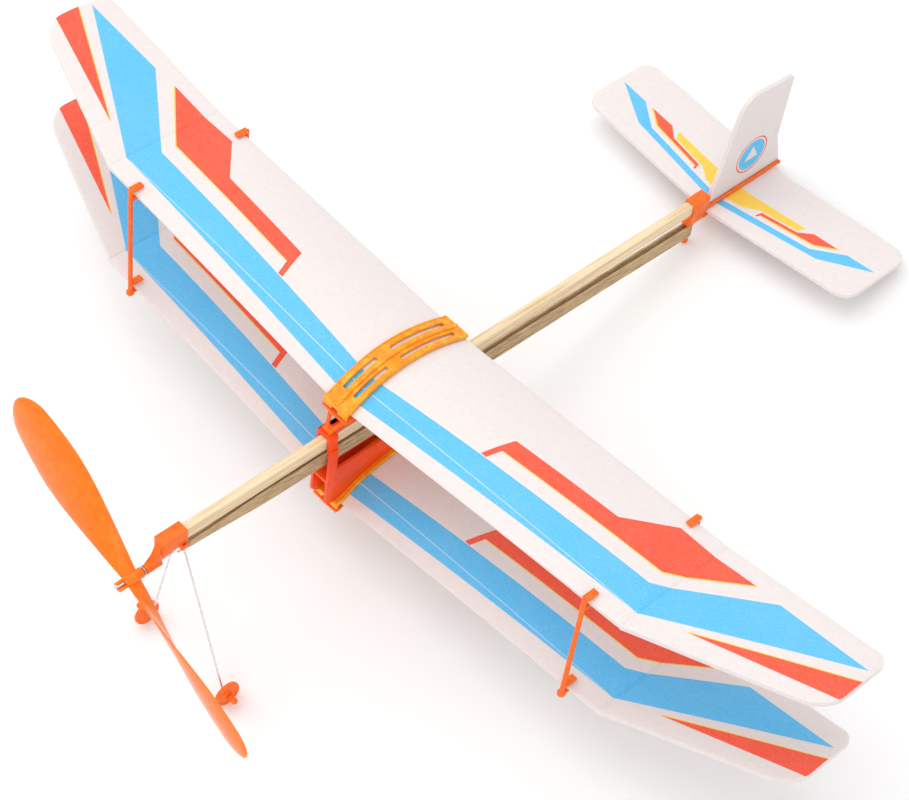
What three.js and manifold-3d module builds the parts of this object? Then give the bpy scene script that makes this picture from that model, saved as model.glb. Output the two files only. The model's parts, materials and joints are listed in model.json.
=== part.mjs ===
// Rubber band powered toy biplane: printed foam wings and tail, a wooden stick
// fuselage, moulded orange fittings, a twisted rubber motor and a wire undercarriage.
// Millimetres, +Z up. The airframe is drawn level, nose towards -Y and right wing
// towards +X, and is then set down on its wheels and its tail foot.
import * as THREE from 'three';
import { mergeVertices } from 'three/addons/utils/BufferGeometryUtils.js';
import Module from 'manifold-3d';

const wasm = await Module();
wasm.setup();

// ---------------------------------------------------------------- dimensions
// Airframe frame: Y = 0 at the wings' leading edge, Z = 0 on the stick's centre line.
const gap = 0.3; // clearance between pieces that touch

const stick = { width: 3.6, height: 5.4, front: -81, rear: 200 };

const wing = {
  halfSpan: 210, // from the centre to the tip along the sheet
  crease: 138.5, // where each tip is folded up
  chord: 57.5, // at the centre
  creaseSweep: 3, // how far the leading edge lies back at the crease
  tipSweep: 25, // and at the tip
  leadingCorner: 9, // corner radii at the tips
  trailingCorner: 5,
  thickness: 2,
  camber: 8, // height of the arch over the chord, at the centre
  tipCamber: 0.6,
  camberForward: 0.17, // how much of the arch sits ahead of mid chord
  innerDihedral: THREE.MathUtils.degToRad(4.25),
  centreDroop: 1.2, // leading edge below the middle of the chord, at the centre
  creaseRise: 0.8, // and above it at the crease
  strutSpan: 123, // where the interplane struts stand
};
const upper = { height: 16.8, tipDihedral: THREE.MathUtils.degToRad(9) };
const lower = { height: -34.9, tipDihedral: THREE.MathUtils.degToRad(12) };

const clip = { halfWidth: 6.5, thickness: 1.3, front: -2.6, overhang: 1.2, slotIn: 2, slotOut: 3.8 };
const clamp = { front: -6.5, rear: 42, wall: 1.2, frame: 4, top: 4.7, floor: -21, sideTop: -14.6 };
const slotInClamp = { halfWidth: 2.5, top: 3.1, bottom: -19.6, motorHalfWidth: 3.4, motorTop: -4 };

const shaft = { height: -8.3, radius: 0.5, front: -102, crank: 1.5 };
const nose = { front: -83, rear: -72, halfWidth: 2.6, halfHeight: 3.5, pocket: 9.4 };
const sleeve = { rear: -82.6, front: -89.3, radius: 1.9 };
const hub = { rear: -90.4, front: -98.2, radius: 2.1, crown: 3 };
const washer = { front: -90.1, rear: -89.6, radius: 1.8 };
const propeller = { radius: 74.5, helix: 11.3, rest: THREE.MathUtils.degToRad(-30.2), centre: -95 };
const hook = { rear: -69.8, neck: -77, rise: 1.8 };

const band = { width: 3.8, slot: 2.4, height: 7, rearHeight: -13, gather: 0.95, spread: 45 };
const tail = { front: 192.5, rear: 202, halfWidth: 2.6, halfHeight: 3.5 };
const foot = { y: 194.4, height: -19, radius: 1.6, heel: 1.3, finger: 0.9 };
const tailplane = {
  halfSpan: 74,
  front: 202.4,
  rear: 243.7,
  tipFront: 207,
  tipRear: 246.6,
  corner: 7,
  thickness: 1.8,
  height: -5,
  dihedral: THREE.MathUtils.degToRad(3),
};
const fin = { thickness: 1.8, lift: 0.4 };

const wheel = { x: 23.9, y: -68.5, height: -78.5, radius: 5.5, width: 2 };
const leg = { radius: 0.4, bore: 0.75, top: 2.4, y: -73.6 };
const boss = { halfWidth: 3.5, halfLength: 1.5, drop: 1.9 };

// The stance: how far the nose tilts up when the wheels and the tail foot's flat
// heel stand on one floor.
const reach = Math.hypot(foot.y - wheel.y, foot.height - wheel.height);
const slope = Math.atan2(foot.height - wheel.height, foot.y - wheel.y);
const stance = slope + Math.asin((wheel.radius - foot.heel) / reach);

// ----------------------------------------------------------------- materials
const foamWhite = new THREE.MeshStandardMaterial({ color: 0xf4efee, roughness: 0.85 });
const orange = new THREE.MeshStandardMaterial({ color: 0xff5a14, roughness: 0.3 });
const amber = new THREE.MeshStandardMaterial({ color: 0xff8a14, roughness: 0.3 });
const pine = new THREE.MeshStandardMaterial({ color: 0xe8c9a0, roughness: 0.7 });
const rubber = new THREE.MeshStandardMaterial({ color: 0xc9a377, roughness: 0.6 });
const steel = new THREE.MeshStandardMaterial({ color: 0xd8d8d8, roughness: 0.35, metalness: 1 });

// ------------------------------------------------------------------- helpers
// A closed three.js geometry as a solid, and a solid as a geometry again.
function toSolid(geometry) {
  const bare = geometry.index ? geometry.toNonIndexed() : geometry.clone();
  bare.deleteAttribute('normal');
  bare.deleteAttribute('uv');
  const merged = mergeVertices(bare, 1e-4);
  return new wasm.Manifold(
    new wasm.Mesh({
      numProp: 3,
      vertProperties: new Float32Array(merged.attributes.position.array),
      triVerts: new Uint32Array(merged.index.array),
    }),
  );
}

function toGeometry(solid) {
  const mesh = solid.getMesh();
  const geometry = new THREE.BufferGeometry();
  geometry.setAttribute('position', new THREE.BufferAttribute(new Float32Array(mesh.vertProperties), 3));
  geometry.setIndex(new THREE.BufferAttribute(new Uint32Array(mesh.triVerts), 1));
  geometry.computeVertexNormals();
  return geometry;
}

function join(...solids) {
  return solids.reduce((sum, solid) => sum.add(solid));
}

// A box between two corners.
function box(low, high) {
  const size = high.map((value, axis) => value - low[axis]);
  const middle = high.map((value, axis) => (value + low[axis]) / 2);
  return toSolid(new THREE.BoxGeometry(...size).translate(...middle));
}

function ball(centre, radius) {
  return toSolid(new THREE.SphereGeometry(radius, 14, 10).translate(...centre));
}

// A round bar from one point to another.
function bar(from, to, radius, sides = 12) {
  const start = new THREE.Vector3(...from);
  const end = new THREE.Vector3(...to);
  const along = end.clone().sub(start);
  const cylinder = new THREE.CylinderGeometry(radius, radius, along.length(), sides);
  const turn = new THREE.Quaternion().setFromUnitVectors(new THREE.Vector3(0, 1, 0), along.clone().normalize());
  cylinder.applyQuaternion(turn);
  cylinder.translate(...start.add(end).multiplyScalar(0.5).toArray());
  return toSolid(cylinder);
}

// Wire with sharp bends: straight round lengths with a ball at each bend.
function bentBar(points, radius) {
  const lengths = points.slice(1).map((point, index) => bar(points[index], point, radius));
  return join(...lengths, ...points.slice(1, -1).map((point) => ball(point, radius)));
}

// Bent wire: a round section drawn along a smooth line through the points.
function wire(points, radius, steps, sides = 10) {
  const path = new THREE.CatmullRomCurve3(points.map((point) => new THREE.Vector3(...point)), false, 'catmullrom', 0.3);
  const section = new THREE.Shape().absarc(0, 0, radius, 0, 2 * Math.PI);
  return toSolid(
    new THREE.ExtrudeGeometry(section, { steps, curveSegments: sides / 2, extrudePath: path, bevelEnabled: false }),
  );
}

// An outline drawn in the side view (Y, Z) and given a width along X.
function sidePlate(shape, fromX, toX) {
  const plate = new THREE.ExtrudeGeometry(shape, { depth: toX - fromX, bevelEnabled: false, curveSegments: 8 });
  const sideways = new THREE.Matrix4().set(0, 0, 1, fromX, 1, 0, 0, 0, 0, 1, 0, 0, 0, 0, 0, 1);
  return toSolid(plate.applyMatrix4(sideways));
}

function outline(points) {
  return new THREE.Shape(points.map(([y, z]) => new THREE.Vector2(y, z)));
}

// A sheet of even thickness: top(u, t) gives a point of its upper face for a
// place u along the span and a share t of the chord.
function sheet(top, spans, rows, thickness) {
  const positions = [];
  const index = [];
  const row = rows + 1;
  for (const side of [0, 1]) {
    for (const u of spans) {
      for (let step = 0; step <= rows; step += 1) {
        const point = top(u, step / rows);
        positions.push(point.x, point.y, point.z - side * thickness);
      }
    }
  }
  const under = spans.length * row;
  const quad = (a, b, c, d) => index.push(a, b, c, a, c, d);
  for (let i = 0; i + 1 < spans.length; i += 1) {
    for (let j = 0; j < rows; j += 1) {
      const a = i * row + j;
      quad(a, a + row, a + row + 1, a + 1);
      quad(under + a, under + a + 1, under + a + row + 1, under + a + row);
    }
    const front = i * row;
    const back = front + rows;
    quad(front, under + front, under + front + row, front + row);
    quad(back, back + row, under + back + row, under + back);
  }
  const last = (spans.length - 1) * row;
  for (let j = 0; j < rows; j += 1) {
    quad(j, j + 1, under + j + 1, under + j);
    quad(last + j, under + last + j, under + last + j + 1, last + j + 1);
  }
  const geometry = new THREE.BufferGeometry();
  geometry.setAttribute('position', new THREE.Float32BufferAttribute(positions, 3));
  geometry.setIndex(index);
  return toSolid(geometry);
}

const airframe = new THREE.Group();
function add(name, solid, material) {
  const mesh = new THREE.Mesh(toGeometry(solid), material);
  mesh.name = name;
  airframe.add(mesh);
}

// --------------------------------------------------------------------- wings
// How far a rounded tip corner cuts in at the place u.
function cornerCut(u, halfSpan, radius) {
  const past = Math.max(0, Math.abs(u) - (halfSpan - radius));
  return radius - Math.sqrt(Math.max(0, radius * radius - past * past));
}

function leadingEdge(u) {
  const out = Math.abs(u);
  const { crease, halfSpan, creaseSweep, tipSweep } = wing;
  const inner = (Math.min(out, crease) / crease) * creaseSweep;
  const tip = (Math.max(0, out - crease) / (halfSpan - crease)) * (tipSweep - creaseSweep);
  return inner + tip + cornerCut(u, halfSpan, wing.leadingCorner);
}

function trailingEdge(u) {
  return wing.chord - cornerCut(u, wing.halfSpan, wing.trailingCorner);
}

// A point of a wing's printed upper face, u along the sheet and y back from
// the centre's leading edge.
function wingPoint(plane, u, y) {
  const out = Math.abs(u);
  const inner = Math.min(out, wing.crease);
  const tip = Math.max(0, out - wing.crease);
  const front = leadingEdge(u);
  const share = (y - front) / (trailingEdge(u) - front);
  const fade = 1 - (inner / wing.crease) ** 2;
  const arch = wing.tipCamber + (wing.camber - wing.tipCamber) * fade;
  const bow = 4 * arch * share * (1 - share) * (1 + wing.camberForward * (1 - 2 * share));
  const nod = -wing.centreDroop + (wing.centreDroop + wing.creaseRise) * (inner / wing.crease);
  const x = inner * Math.cos(wing.innerDihedral) + tip * Math.cos(plane.tipDihedral);
  const rise = inner * Math.sin(wing.innerDihedral) + tip * Math.sin(plane.tipDihedral);
  return new THREE.Vector3(Math.sign(u) * x, y, plane.height + rise + bow + nod * (1 - 2 * share));
}

const halfStations = [0, 15, 30, 50, 70, 90, 110, 125, wing.crease, 165, 190, 201, 204, 206.5, 208.3, 209.5, wing.halfSpan];
const stations = [...halfStations.slice(1).reverse().map((u) => -u), ...halfStations];

const chordSteps = 10;

function wingSheet(plane) {
  const top = (u, share) => wingPoint(plane, u, leadingEdge(u) + share * (trailingEdge(u) - leadingEdge(u)));
  return sheet(top, stations, chordSteps, wing.thickness);
}
add('upper_wing', wingSheet(upper), foamWhite);
add('lower_wing', wingSheet(lower), foamWhite);

// --------------------------------------------------------------- wing clips
// Each wing is gripped between an arched frame above and a plain frame below.
const clipSpans = [-clip.halfWidth, -3.2, 0, 3.2, clip.halfWidth];
const clipRear = wing.chord + clip.overhang;

// Height of a clip's face over or under the foam, carried on straight past its edges.
function clipHeight(plane, x, y, above) {
  const inside = THREE.MathUtils.clamp(y, leadingEdge(x), wing.chord);
  return wingPoint(plane, x, inside).z + above;
}

function clipSheet(plane, above, thickness) {
  const rows = [clip.front];
  for (let step = 0; step <= chordSteps; step += 1) rows.push((step / chordSteps) * wing.chord);
  rows.push(clipRear);
  const top = (x, share) => {
    const y = rows[Math.round(share * (rows.length - 1))];
    return new THREE.Vector3(x, y, clipHeight(plane, x, y, above));
  };
  return sheet(top, clipSpans, rows.length - 1, thickness);
}

function frontLip(plane) {
  const z = clipHeight(plane, 0, 0, 0);
  return box([-clip.halfWidth, clip.front, z - 1.2], [clip.halfWidth, clip.front + 1.3, z + gap + 0.6]);
}

function clipTop(plane) {
  let frame = join(clipSheet(plane, gap + clip.thickness, clip.thickness), frontLip(plane));
  for (const side of [-1, 1]) {
    const x = [side * clip.slotIn, side * clip.slotOut].sort((a, b) => a - b);
    for (const [from, to] of [[4.5, 20], [26.5, 54]]) {
      frame = frame.subtract(box([x[0], from, plane.height - 20], [x[1], to, plane.height + 30]));
    }
  }
  const rib = [];
  const ribTop = [];
  for (let step = 0; step <= 12; step += 1) {
    const y = clip.front + 0.6 + (step / 12) * (clipRear - clip.front - 1.2);
    rib.push([y, clipHeight(plane, 0, y, gap + 0.5)]);
    ribTop.unshift([y, clipHeight(plane, 0, y, gap + clip.thickness + 1.1)]);
  }
  return join(frame, sidePlate(outline([...rib, ...ribTop]), -0.7, 0.7));
}

function clipFoot(plane) {
  let frame = clipSheet(plane, -wing.thickness - gap, 1.2);
  for (const [from, to] of [[6, 26], [31, 52]]) {
    frame = frame.subtract(box([-4.2, from, plane.height - 20], [4.2, to, plane.height + 30]));
  }
  return frame;
}
add('upper_wing_clip', clipTop(upper), amber);
add('upper_clip_foot', clipFoot(upper), orange);
add('lower_wing_clip', clipTop(lower), amber);
add('lower_clip_foot', clipFoot(lower), orange);

// --------------------------------------------------------- clamp and cabanes
// The clamp slides along the stick. Its slot also clears the rubber motor, and
// its side plates come down to the lower wing's clip.
function clampBody() {
  const inner = slotInClamp.motorHalfWidth;
  const half = inner + clamp.wall;
  const plateBottom = [];
  for (let step = 0; step <= 8; step += 1) {
    const y = clamp.rear + (step / 8) * (clamp.front + 3 - clamp.rear);
    plateBottom.push([y, clipHeight(lower, 0, y, 2 * gap + clip.thickness + 0.3)]);
  }
  const plate = outline([[clamp.front, clamp.sideTop], [clamp.rear, clamp.sideTop], ...plateBottom, [clamp.front, -31]]);
  const sides = join(sidePlate(plate, inner, half), sidePlate(plate, -half, -inner));
  const frames = [clamp.front, clamp.rear - clamp.frame].map((y) => {
    const [from, to] = [y - 1, y + clamp.frame + 1];
    const neck = slotInClamp.halfWidth + clamp.wall;
    const { halfWidth, top, bottom, motorTop } = slotInClamp;
    return join(
      box([-neck, y, motorTop - 2], [neck, y + clamp.frame, clamp.top]),
      box([-half, y, clamp.floor], [half, y + clamp.frame, motorTop + clamp.wall]),
    )
      .subtract(box([-halfWidth, from, motorTop - 3], [halfWidth, to, top]))
      .subtract(box([-inner, from, bottom], [inner, to, motorTop]));
  });
  const topRail = box([-1.5, clamp.front + 1, slotInClamp.top], [1.5, clamp.rear - 1, clamp.top]);
  return join(sides, ...frames, topRail);
}
add('stick_clamp', clampBody(), orange);

// A V of thin bars from the clamp's top up to the upper wing's lower frame.
function cabane(y, topY) {
  const seat = clipHeight(upper, 0, topY, -wing.thickness - gap - 1.2 - gap);
  const head = box([-5.6, topY - 1.3, seat - 1], [5.6, topY + 1.3, seat]);
  const base = box([-2.2, y - 1.5, clamp.top + gap], [2.2, y + 1.5, clamp.top + gap + 1.4]);
  const arms = [-1, 1].map((side) =>
    bar([side * 1.2, y, clamp.top + gap + 0.9], [side * 4.4, topY, seat - 0.5], 0.8, 10),
  );
  return join(head, base, ...arms);
}
add('cabane_front', cabane(clamp.front + 2.5, 0.4), orange);
add('cabane_rear', cabane(clamp.rear - 2, 50), orange);

// -------------------------------------------------------- interplane struts
// A thin rod beside the wings' edges, with two tabs gripping the foam at each
// wing and a ball at its foot.
function strut(side, behind) {
  const u = side * wing.strutSpan;
  const edge = behind ? trailingEdge(u) : leadingEdge(u);
  const away = behind ? 1 : -1;
  const rodY = edge + away * 1.5;
  const inside = edge - away * 4;
  const { x } = wingPoint(upper, u, edge);
  const tabY = [rodY, inside].sort((a, b) => a - b);
  const tabs = [];
  for (const plane of [upper, lower]) {
    const high = Math.max(wingPoint(plane, u, edge).z, wingPoint(plane, u, inside).z) + gap + 0.15;
    const low = Math.min(wingPoint(plane, u, edge).z, wingPoint(plane, u, inside).z) - wing.thickness - gap - 0.15;
    tabs.push(box([x - 1.3, tabY[0], high], [x + 1.3, tabY[1], high + 1]));
    tabs.push(box([x - 1.3, tabY[0], low - 1], [x + 1.3, tabY[1], low]));
  }
  const topZ = wingPoint(upper, u, edge).z + 1.4;
  const footZ = wingPoint(lower, u, edge).z - wing.thickness - 1.6;
  return join(bar([x, rodY, footZ], [x, rodY, topZ], 0.95), ball([x, rodY, footZ], 1.7), ...tabs);
}
for (const [word, side] of [['left', -1], ['right', 1]]) {
  add(`strut_front_${word}`, strut(side, false), orange);
  add(`strut_rear_${word}`, strut(side, true), orange);
}

// -------------------------------------------------------------------- stick
const halfStick = [stick.width / 2, stick.height / 2];
add('fuselage_stick', box([-halfStick[0], stick.front, -halfStick[1]], [halfStick[0], stick.rear, halfStick[1]]), pine);

// --------------------------------------------------------------------- nose
// A socket on the stick, a neck sloping down to the bearing sleeve, and a boss
// underneath for the undercarriage wires.
function legPath(side) {
  const wheelIn = wheel.x - wheel.width / 2 - 1.6;
  return [
    [side * leg.top, leg.y, -nose.halfHeight],
    [side * leg.top, leg.y, -nose.halfHeight - 2.4],
    [side * (leg.top + 0.75), leg.y + 0.2, -nose.halfHeight - 5],
    [side * (wheelIn - 1), wheel.y - 0.3, wheel.height + 3.6],
    [side * (wheelIn + 0.2), wheel.y, wheel.height + 0.5],
    [side * (wheelIn + 1.2), wheel.y, wheel.height],
    [side * (wheel.x + 4.8), wheel.y, wheel.height],
  ];
}

function noseBlock() {
  const { front, rear, halfWidth, halfHeight, pocket } = nose;
  const socket = box([-halfWidth, front, -halfHeight], [halfWidth, rear, halfHeight]);
  const hollow = box(
    [-halfStick[0] - gap, rear - pocket, -halfStick[1] - gap],
    [halfStick[0] + gap, rear + 1, halfStick[1] + gap],
  );
  const neck = sidePlate(
    outline([
      [front + 1.5, -halfHeight + 0.5],
      [front + 0.5, halfHeight - 1.6],
      [front - 0.8, halfHeight - 3.4],
      [front - 2.6, shaft.height + 4.4],
      [sleeve.front + 1.4, shaft.height + 2.2],
      [sleeve.front + 0.4, shaft.height + 0.9],
      [sleeve.rear - 0.4, shaft.height + 0.9],
      [front + 0.4, shaft.height + 2.6],
      [front + 2.2, -halfHeight - 0.6],
    ]),
    -1.35,
    1.35,
  );
  const bearing = bar([0, sleeve.front, shaft.height], [0, sleeve.rear, shaft.height], sleeve.radius, 20);
  const pad = box(
    [-boss.halfWidth, leg.y - boss.halfLength, -halfHeight - boss.drop],
    [boss.halfWidth, leg.y + boss.halfLength, -halfHeight + 0.3],
  );
  let block = join(socket.subtract(hollow), neck, bearing, pad);
  block = block.subtract(bar([0, sleeve.front - 2, shaft.height], [0, sleeve.rear + 2, shaft.height], 0.8));
  for (const side of [-1, 1]) {
    const [x, y] = [side * leg.top, leg.y];
    block = block.subtract(bar([x, y, -halfHeight - 4], [x, y, -halfHeight + 0.35], leg.bore));
  }
  return block;
}
add('nose_block', noseBlock(), orange);

// --------------------------------------------------------------- propeller
// Blade outline: the chord at a distance r from the axis, with a round tip.
const [bladeWidest, bladeRound, bladeRoot, bladeSpread] = [49.5, 65, 5.6, 20.4];
function bladeChord(r) {
  const share = (r / bladeWidest) ** 1.5;
  const eased = share < 1 ? share : 1 + 0.7 * (share - 1);
  const full = bladeRoot + bladeSpread * Math.sin((Math.PI / 2) * eased);
  const past = Math.max(0, (r - bladeRound) / (propeller.radius - bladeRound));
  return Math.max(0.8, full * Math.sqrt(Math.max(0, 1 - past ** 2.2)));
}

const bladeStations = [1.5, 6, 12, 20, 28, 36, 44, 52, 58, 63, 67, 70.5, 72.8, 74, propeller.radius];
const bladeThickness = 1;

// Each blade lies on a helix, so it is steep near the hub and flat at the tip.
function blade(turn) {
  const radial = new THREE.Vector3(Math.cos(turn), 0, Math.sin(turn));
  const across = new THREE.Vector3(-Math.sin(turn), 0, Math.cos(turn));
  const forward = new THREE.Vector3(0, -1, 0);
  const steps = 6;
  const positions = [];
  const index = [];
  for (const side of [1, -1]) {
    for (const r of bladeStations) {
      const pitch = Math.atan2(propeller.helix, r);
      for (let step = 0; step <= steps; step += 1) {
        const share = step / steps - 0.5;
        const width = share * bladeChord(r);
        const bow = bladeChord(r) * 0.07 * (1 - 4 * share * share);
        const offset = bow + side * (bladeThickness / 2) * Math.sqrt(1.02 - 4 * share * share);
        const point = radial.clone().multiplyScalar(r);
        point.addScaledVector(across, width * Math.cos(pitch) - offset * Math.sin(pitch));
        point.addScaledVector(forward, width * Math.sin(pitch) + offset * Math.cos(pitch));
        positions.push(point.x, point.y + propeller.centre, point.z + shaft.height);
      }
    }
  }
  const row = steps + 1;
  const under = bladeStations.length * row;
  const quad = (a, b, c, d) => index.push(a, b, c, a, c, d);
  for (let i = 0; i + 1 < bladeStations.length; i += 1) {
    for (let j = 0; j < steps; j += 1) {
      const a = i * row + j;
      quad(a, a + row, a + row + 1, a + 1);
      quad(under + a, under + a + 1, under + a + row + 1, under + a + row);
    }
    const [front, back] = [i * row, i * row + steps];
    quad(front, under + front, under + front + row, front + row);
    quad(back, back + row, under + back + row, under + back);
  }
  const last = (bladeStations.length - 1) * row;
  for (let j = 0; j < steps; j += 1) {
    quad(j, j + 1, under + j + 1, under + j);
    quad(last + j, under + last + j, under + last + j + 1, last + j + 1);
  }
  const geometry = new THREE.BufferGeometry();
  geometry.setAttribute('position', new THREE.Float32BufferAttribute(positions, 3));
  geometry.setIndex(index);
  return toSolid(geometry);
}

// The hub ends in a half crown, the tooth that the shaft's bent end drives.
function propellerBody() {
  const core = bar([0, hub.front, shaft.height], [0, hub.rear, shaft.height], hub.radius, 20);
  const crown = bar([0, hub.front - hub.crown, shaft.height], [0, hub.front, shaft.height], hub.radius, 20).subtract(
    box([-5, hub.front - 5, shaft.height], [5, hub.front, shaft.height + 5]),
  );
  const blades = [0, Math.PI].map((half) => blade(propeller.rest + half));
  return join(core, crown, ...blades).subtract(
    bar([0, hub.front - 6, shaft.height], [0, hub.rear + 2, shaft.height], 0.8),
  );
}
add('propeller', propellerBody(), orange);

add(
  'thrust_washer',
  bar([0, washer.front, shaft.height], [0, washer.rear, shaft.height], washer.radius, 20).subtract(
    bar([0, washer.front - 1, shaft.height], [0, washer.rear + 1, shaft.height], 0.8),
  ),
  steel,
);

// The shaft is one wire: a driving crank in front, a straight run through the
// hub and sleeve, and the hook that carries the rubber motor.
function shaftBody() {
  const z = shaft.height;
  const run = bar([0, shaft.front, z], [0, hook.neck - 1, z], shaft.radius);
  const crank = join(bar([0, shaft.front, z], [0, shaft.front, z + shaft.crank], shaft.radius), ball([0, shaft.front, z], 0.5));
  const loop = wire(
    [
      [0, hook.neck - 1.4, z],
      [0, hook.neck, z],
      [0, hook.neck + 1.4, z + 0.8],
      [0, hook.neck + 2.6, z + hook.rise],
      [0, hook.rear - 1.1, z + hook.rise],
      [0, hook.rear, z + hook.rise - 1],
      [0, hook.rear, z - hook.rise + 1],
      [0, hook.rear - 1.1, z - hook.rise],
      [0, hook.neck + 2.4, z - hook.rise],
    ],
    shaft.radius,
    36,
  );
  return join(run, crank, loop);
}
add('prop_shaft', shaftBody(), steel);

// ------------------------------------------------------------- rubber motor
// A loop of flat rubber from the shaft's hook to the tail's finger, held at both ends.
function rubberMotor() {
  const outer = band.width / 2;
  const inner = band.slot / 2;
  const front = hook.rear - shaft.radius - gap - (outer - inner) + outer;
  const rear = foot.y + foot.finger + gap + (outer - inner) - outer;
  const slope = Math.atan2(band.rearHeight - shaft.height, rear - front);
  const length = Math.hypot(band.rearHeight - shaft.height, rear - front);
  const loop = (radius) => {
    const path = new THREE.Shape();
    path.absarc(0, length, radius, 0, Math.PI, false);
    path.absarc(0, 0, radius, Math.PI, 2 * Math.PI, false);
    path.closePath();
    return path;
  };
  const ring = loop(outer);
  ring.holes.push(loop(inner));
  const geometry = new THREE.ExtrudeGeometry(ring, { depth: band.height, bevelEnabled: false, curveSegments: 8 });
  geometry.translate(0, 0, -band.height / 2);
  geometry.rotateX(slope);
  geometry.translate(0, front, shaft.height);
  // The strands draw together where they pass round the hook.
  const gathered = (side) => [
    [front - 5, shaft.height + side * band.gather],
    [front + 1.5, shaft.height + side * band.gather],
    [front + band.spread, shaft.height + side * band.height],
    [rear + 5, band.rearHeight + side * band.height],
  ];
  return toSolid(geometry).intersect(
    sidePlate(outline([...gathered(-1), ...gathered(1).reverse()]), -band.width, band.width),
  );
}
add('rubber_band', rubberMotor(), rubber);

// --------------------------------------------------------------------- tail
function tailSheet() {
  const { halfSpan, front, rear, tipFront, tipRear, corner, height, dihedral } = tailplane;
  const top = (u, share) => {
    const out = Math.abs(u) / halfSpan;
    const cut = cornerCut(u, halfSpan, corner);
    const from = front + (tipFront - front) * out + cut;
    const to = rear + (tipRear - rear) * out - cut;
    const x = u * Math.cos(dihedral);
    return new THREE.Vector3(x, from + share * (to - from), height + Math.abs(u) * Math.sin(dihedral));
  };
  const half = [0, 20, 45, 67, 70, 72, 73.3, halfSpan];
  return sheet(top, [...half.slice(1).reverse().map((u) => -u), ...half], 4, tailplane.thickness);
}
add('tailplane', tailSheet(), foamWhite);

// The fin's outline in the side view, its base on the tailplane.
function finPlate() {
  const base = tailplane.height + fin.lift;
  const shape = new THREE.Shape();
  shape.moveTo(203.4, base);
  shape.lineTo(207.6, base + 18);
  shape.quadraticCurveTo(209.6, base + 32, 211.4, base + 44);
  shape.quadraticCurveTo(212.8, base + 52.5, 219.5, base + 53);
  shape.lineTo(240.3, base + 51.6);
  shape.quadraticCurveTo(242.7, base + 51.4, 242.7, base + 49);
  shape.lineTo(242.7, base + 18);
  shape.lineTo(248.6, base);
  shape.closePath();
  return sidePlate(shape, -fin.thickness / 2, fin.thickness / 2);
}
add('fin', finPlate(), foamWhite);

// Socket on the stick's rear end, the rubber motor's finger with its rounded
// foot, a tongue under the tailplane and two rails that hold the fin.
function tailBlock() {
  const { front, rear, halfWidth, halfHeight } = tail;
  const socket = box([-halfWidth, front, -halfHeight], [halfWidth, rear, halfHeight]);
  const hollow = box(
    [-halfStick[0] - gap, front - 1, -halfStick[1] - gap],
    [halfStick[0] + gap, stick.rear + gap, halfStick[1] + gap],
  );
  const under = tailplane.height - tailplane.thickness - gap;
  const webBottom = band.rearHeight + band.height / 2 + gap + 0.2;
  const web = sidePlate(
    outline([
      [front + 0.6, -halfHeight + 0.3],
      [rear, -halfHeight + 0.3],
      [rear, under - 1.5],
      [foot.y + 1.8, webBottom],
      [foot.y - 2.2, webBottom],
    ]),
    -2,
    2,
  );
  const floorUp = [0, -Math.sin(stance), Math.cos(stance)];
  const heel = foot.y * floorUp[1] + foot.height * floorUp[2] - foot.heel;
  const finger = join(
    bar([0, foot.y, foot.height], [0, foot.y, webBottom + 0.5], foot.finger, 16),
    ball([0, foot.y, foot.height], foot.radius),
  ).trimByPlane(floorUp, heel);
  const tongue = box([-2.4, rear - 1, under - 1.3], [2.4, tailplane.rear - 2, under]);
  const railBase = tailplane.height + gap + 0.15;
  const inside = fin.thickness / 2 + gap;
  const rails = [-1, 1].map((side) => {
    const x = [side * inside, side * (inside + 1)].sort((a, b) => a - b);
    return join(
      box([x[0], rear - 1, railBase], [x[1], tailplane.rear + 3.2, railBase + 1.4]),
      ball([side * (inside + 0.6), tailplane.rear + 3.6, railBase + 0.9], 0.95).subtract(
        box([-inside, tailplane.rear, railBase - 2], [inside, tailplane.rear + 8, railBase + 4]),
      ),
    );
  });
  return join(socket.subtract(hollow), web, finger, tongue, ...rails);
}
add('tail_block', tailBlock(), orange);

// ------------------------------------------------------------ undercarriage
// A disc turned on a lathe, with a raised rim and hub, bored for its wire.
function wheelSolid(side) {
  const { radius, width, x, y, height } = wheel;
  const half = width / 2;
  const profile = [
    [leg.bore, -half - 0.3],
    [1.7, -half - 0.3],
    [1.9, -half + 0.4],
    [radius - 1.2, -half + 0.4],
    [radius - 0.9, -half],
    [radius - 0.3, -half],
    [radius, -half + 0.5],
    [radius, half - 0.5],
    [radius - 0.3, half],
    [radius - 0.9, half],
    [radius - 1.2, half - 0.4],
    [1.9, half - 0.4],
    [1.7, half + 0.3],
    [leg.bore, half + 0.3],
  ].map(([r, along]) => new THREE.Vector2(r, along));
  profile.push(profile[0].clone());
  const disc = new THREE.LatheGeometry(profile, 36).rotateZ(-Math.PI / 2);
  return toSolid(disc.translate(side * x, y, height));
}

for (const [word, side] of [['left', -1], ['right', 1]]) {
  add(`gear_leg_${word}`, bentBar(legPath(side), leg.radius), steel);
  add(`wheel_${word}`, wheelSolid(side), orange);
  const capIn = side * (wheel.x + wheel.width / 2 + 0.6);
  const capOut = side * (wheel.x + wheel.width / 2 + 3.2);
  const cap = join(
    bar([capIn, wheel.y, wheel.height], [capOut, wheel.y, wheel.height], 1.3, 16),
    ball([capOut, wheel.y, wheel.height], 1.3),
  ).subtract(bar([capIn - side, wheel.y, wheel.height], [wheel.x * side + side * 5.1, wheel.y, wheel.height], leg.bore));
  add(`wheel_cap_${word}`, cap, orange);
}

// ------------------------------------------------------------------ setting down
// Stand the airframe on the floor and put the origin under the middle of its box.
airframe.rotation.x = -stance;
airframe.updateMatrixWorld(true);
const bounds = new THREE.Box3().setFromObject(airframe, true);
const middle = bounds.getCenter(new THREE.Vector3());
airframe.position.set(-middle.x, -middle.y, -bounds.min.z);

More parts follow.
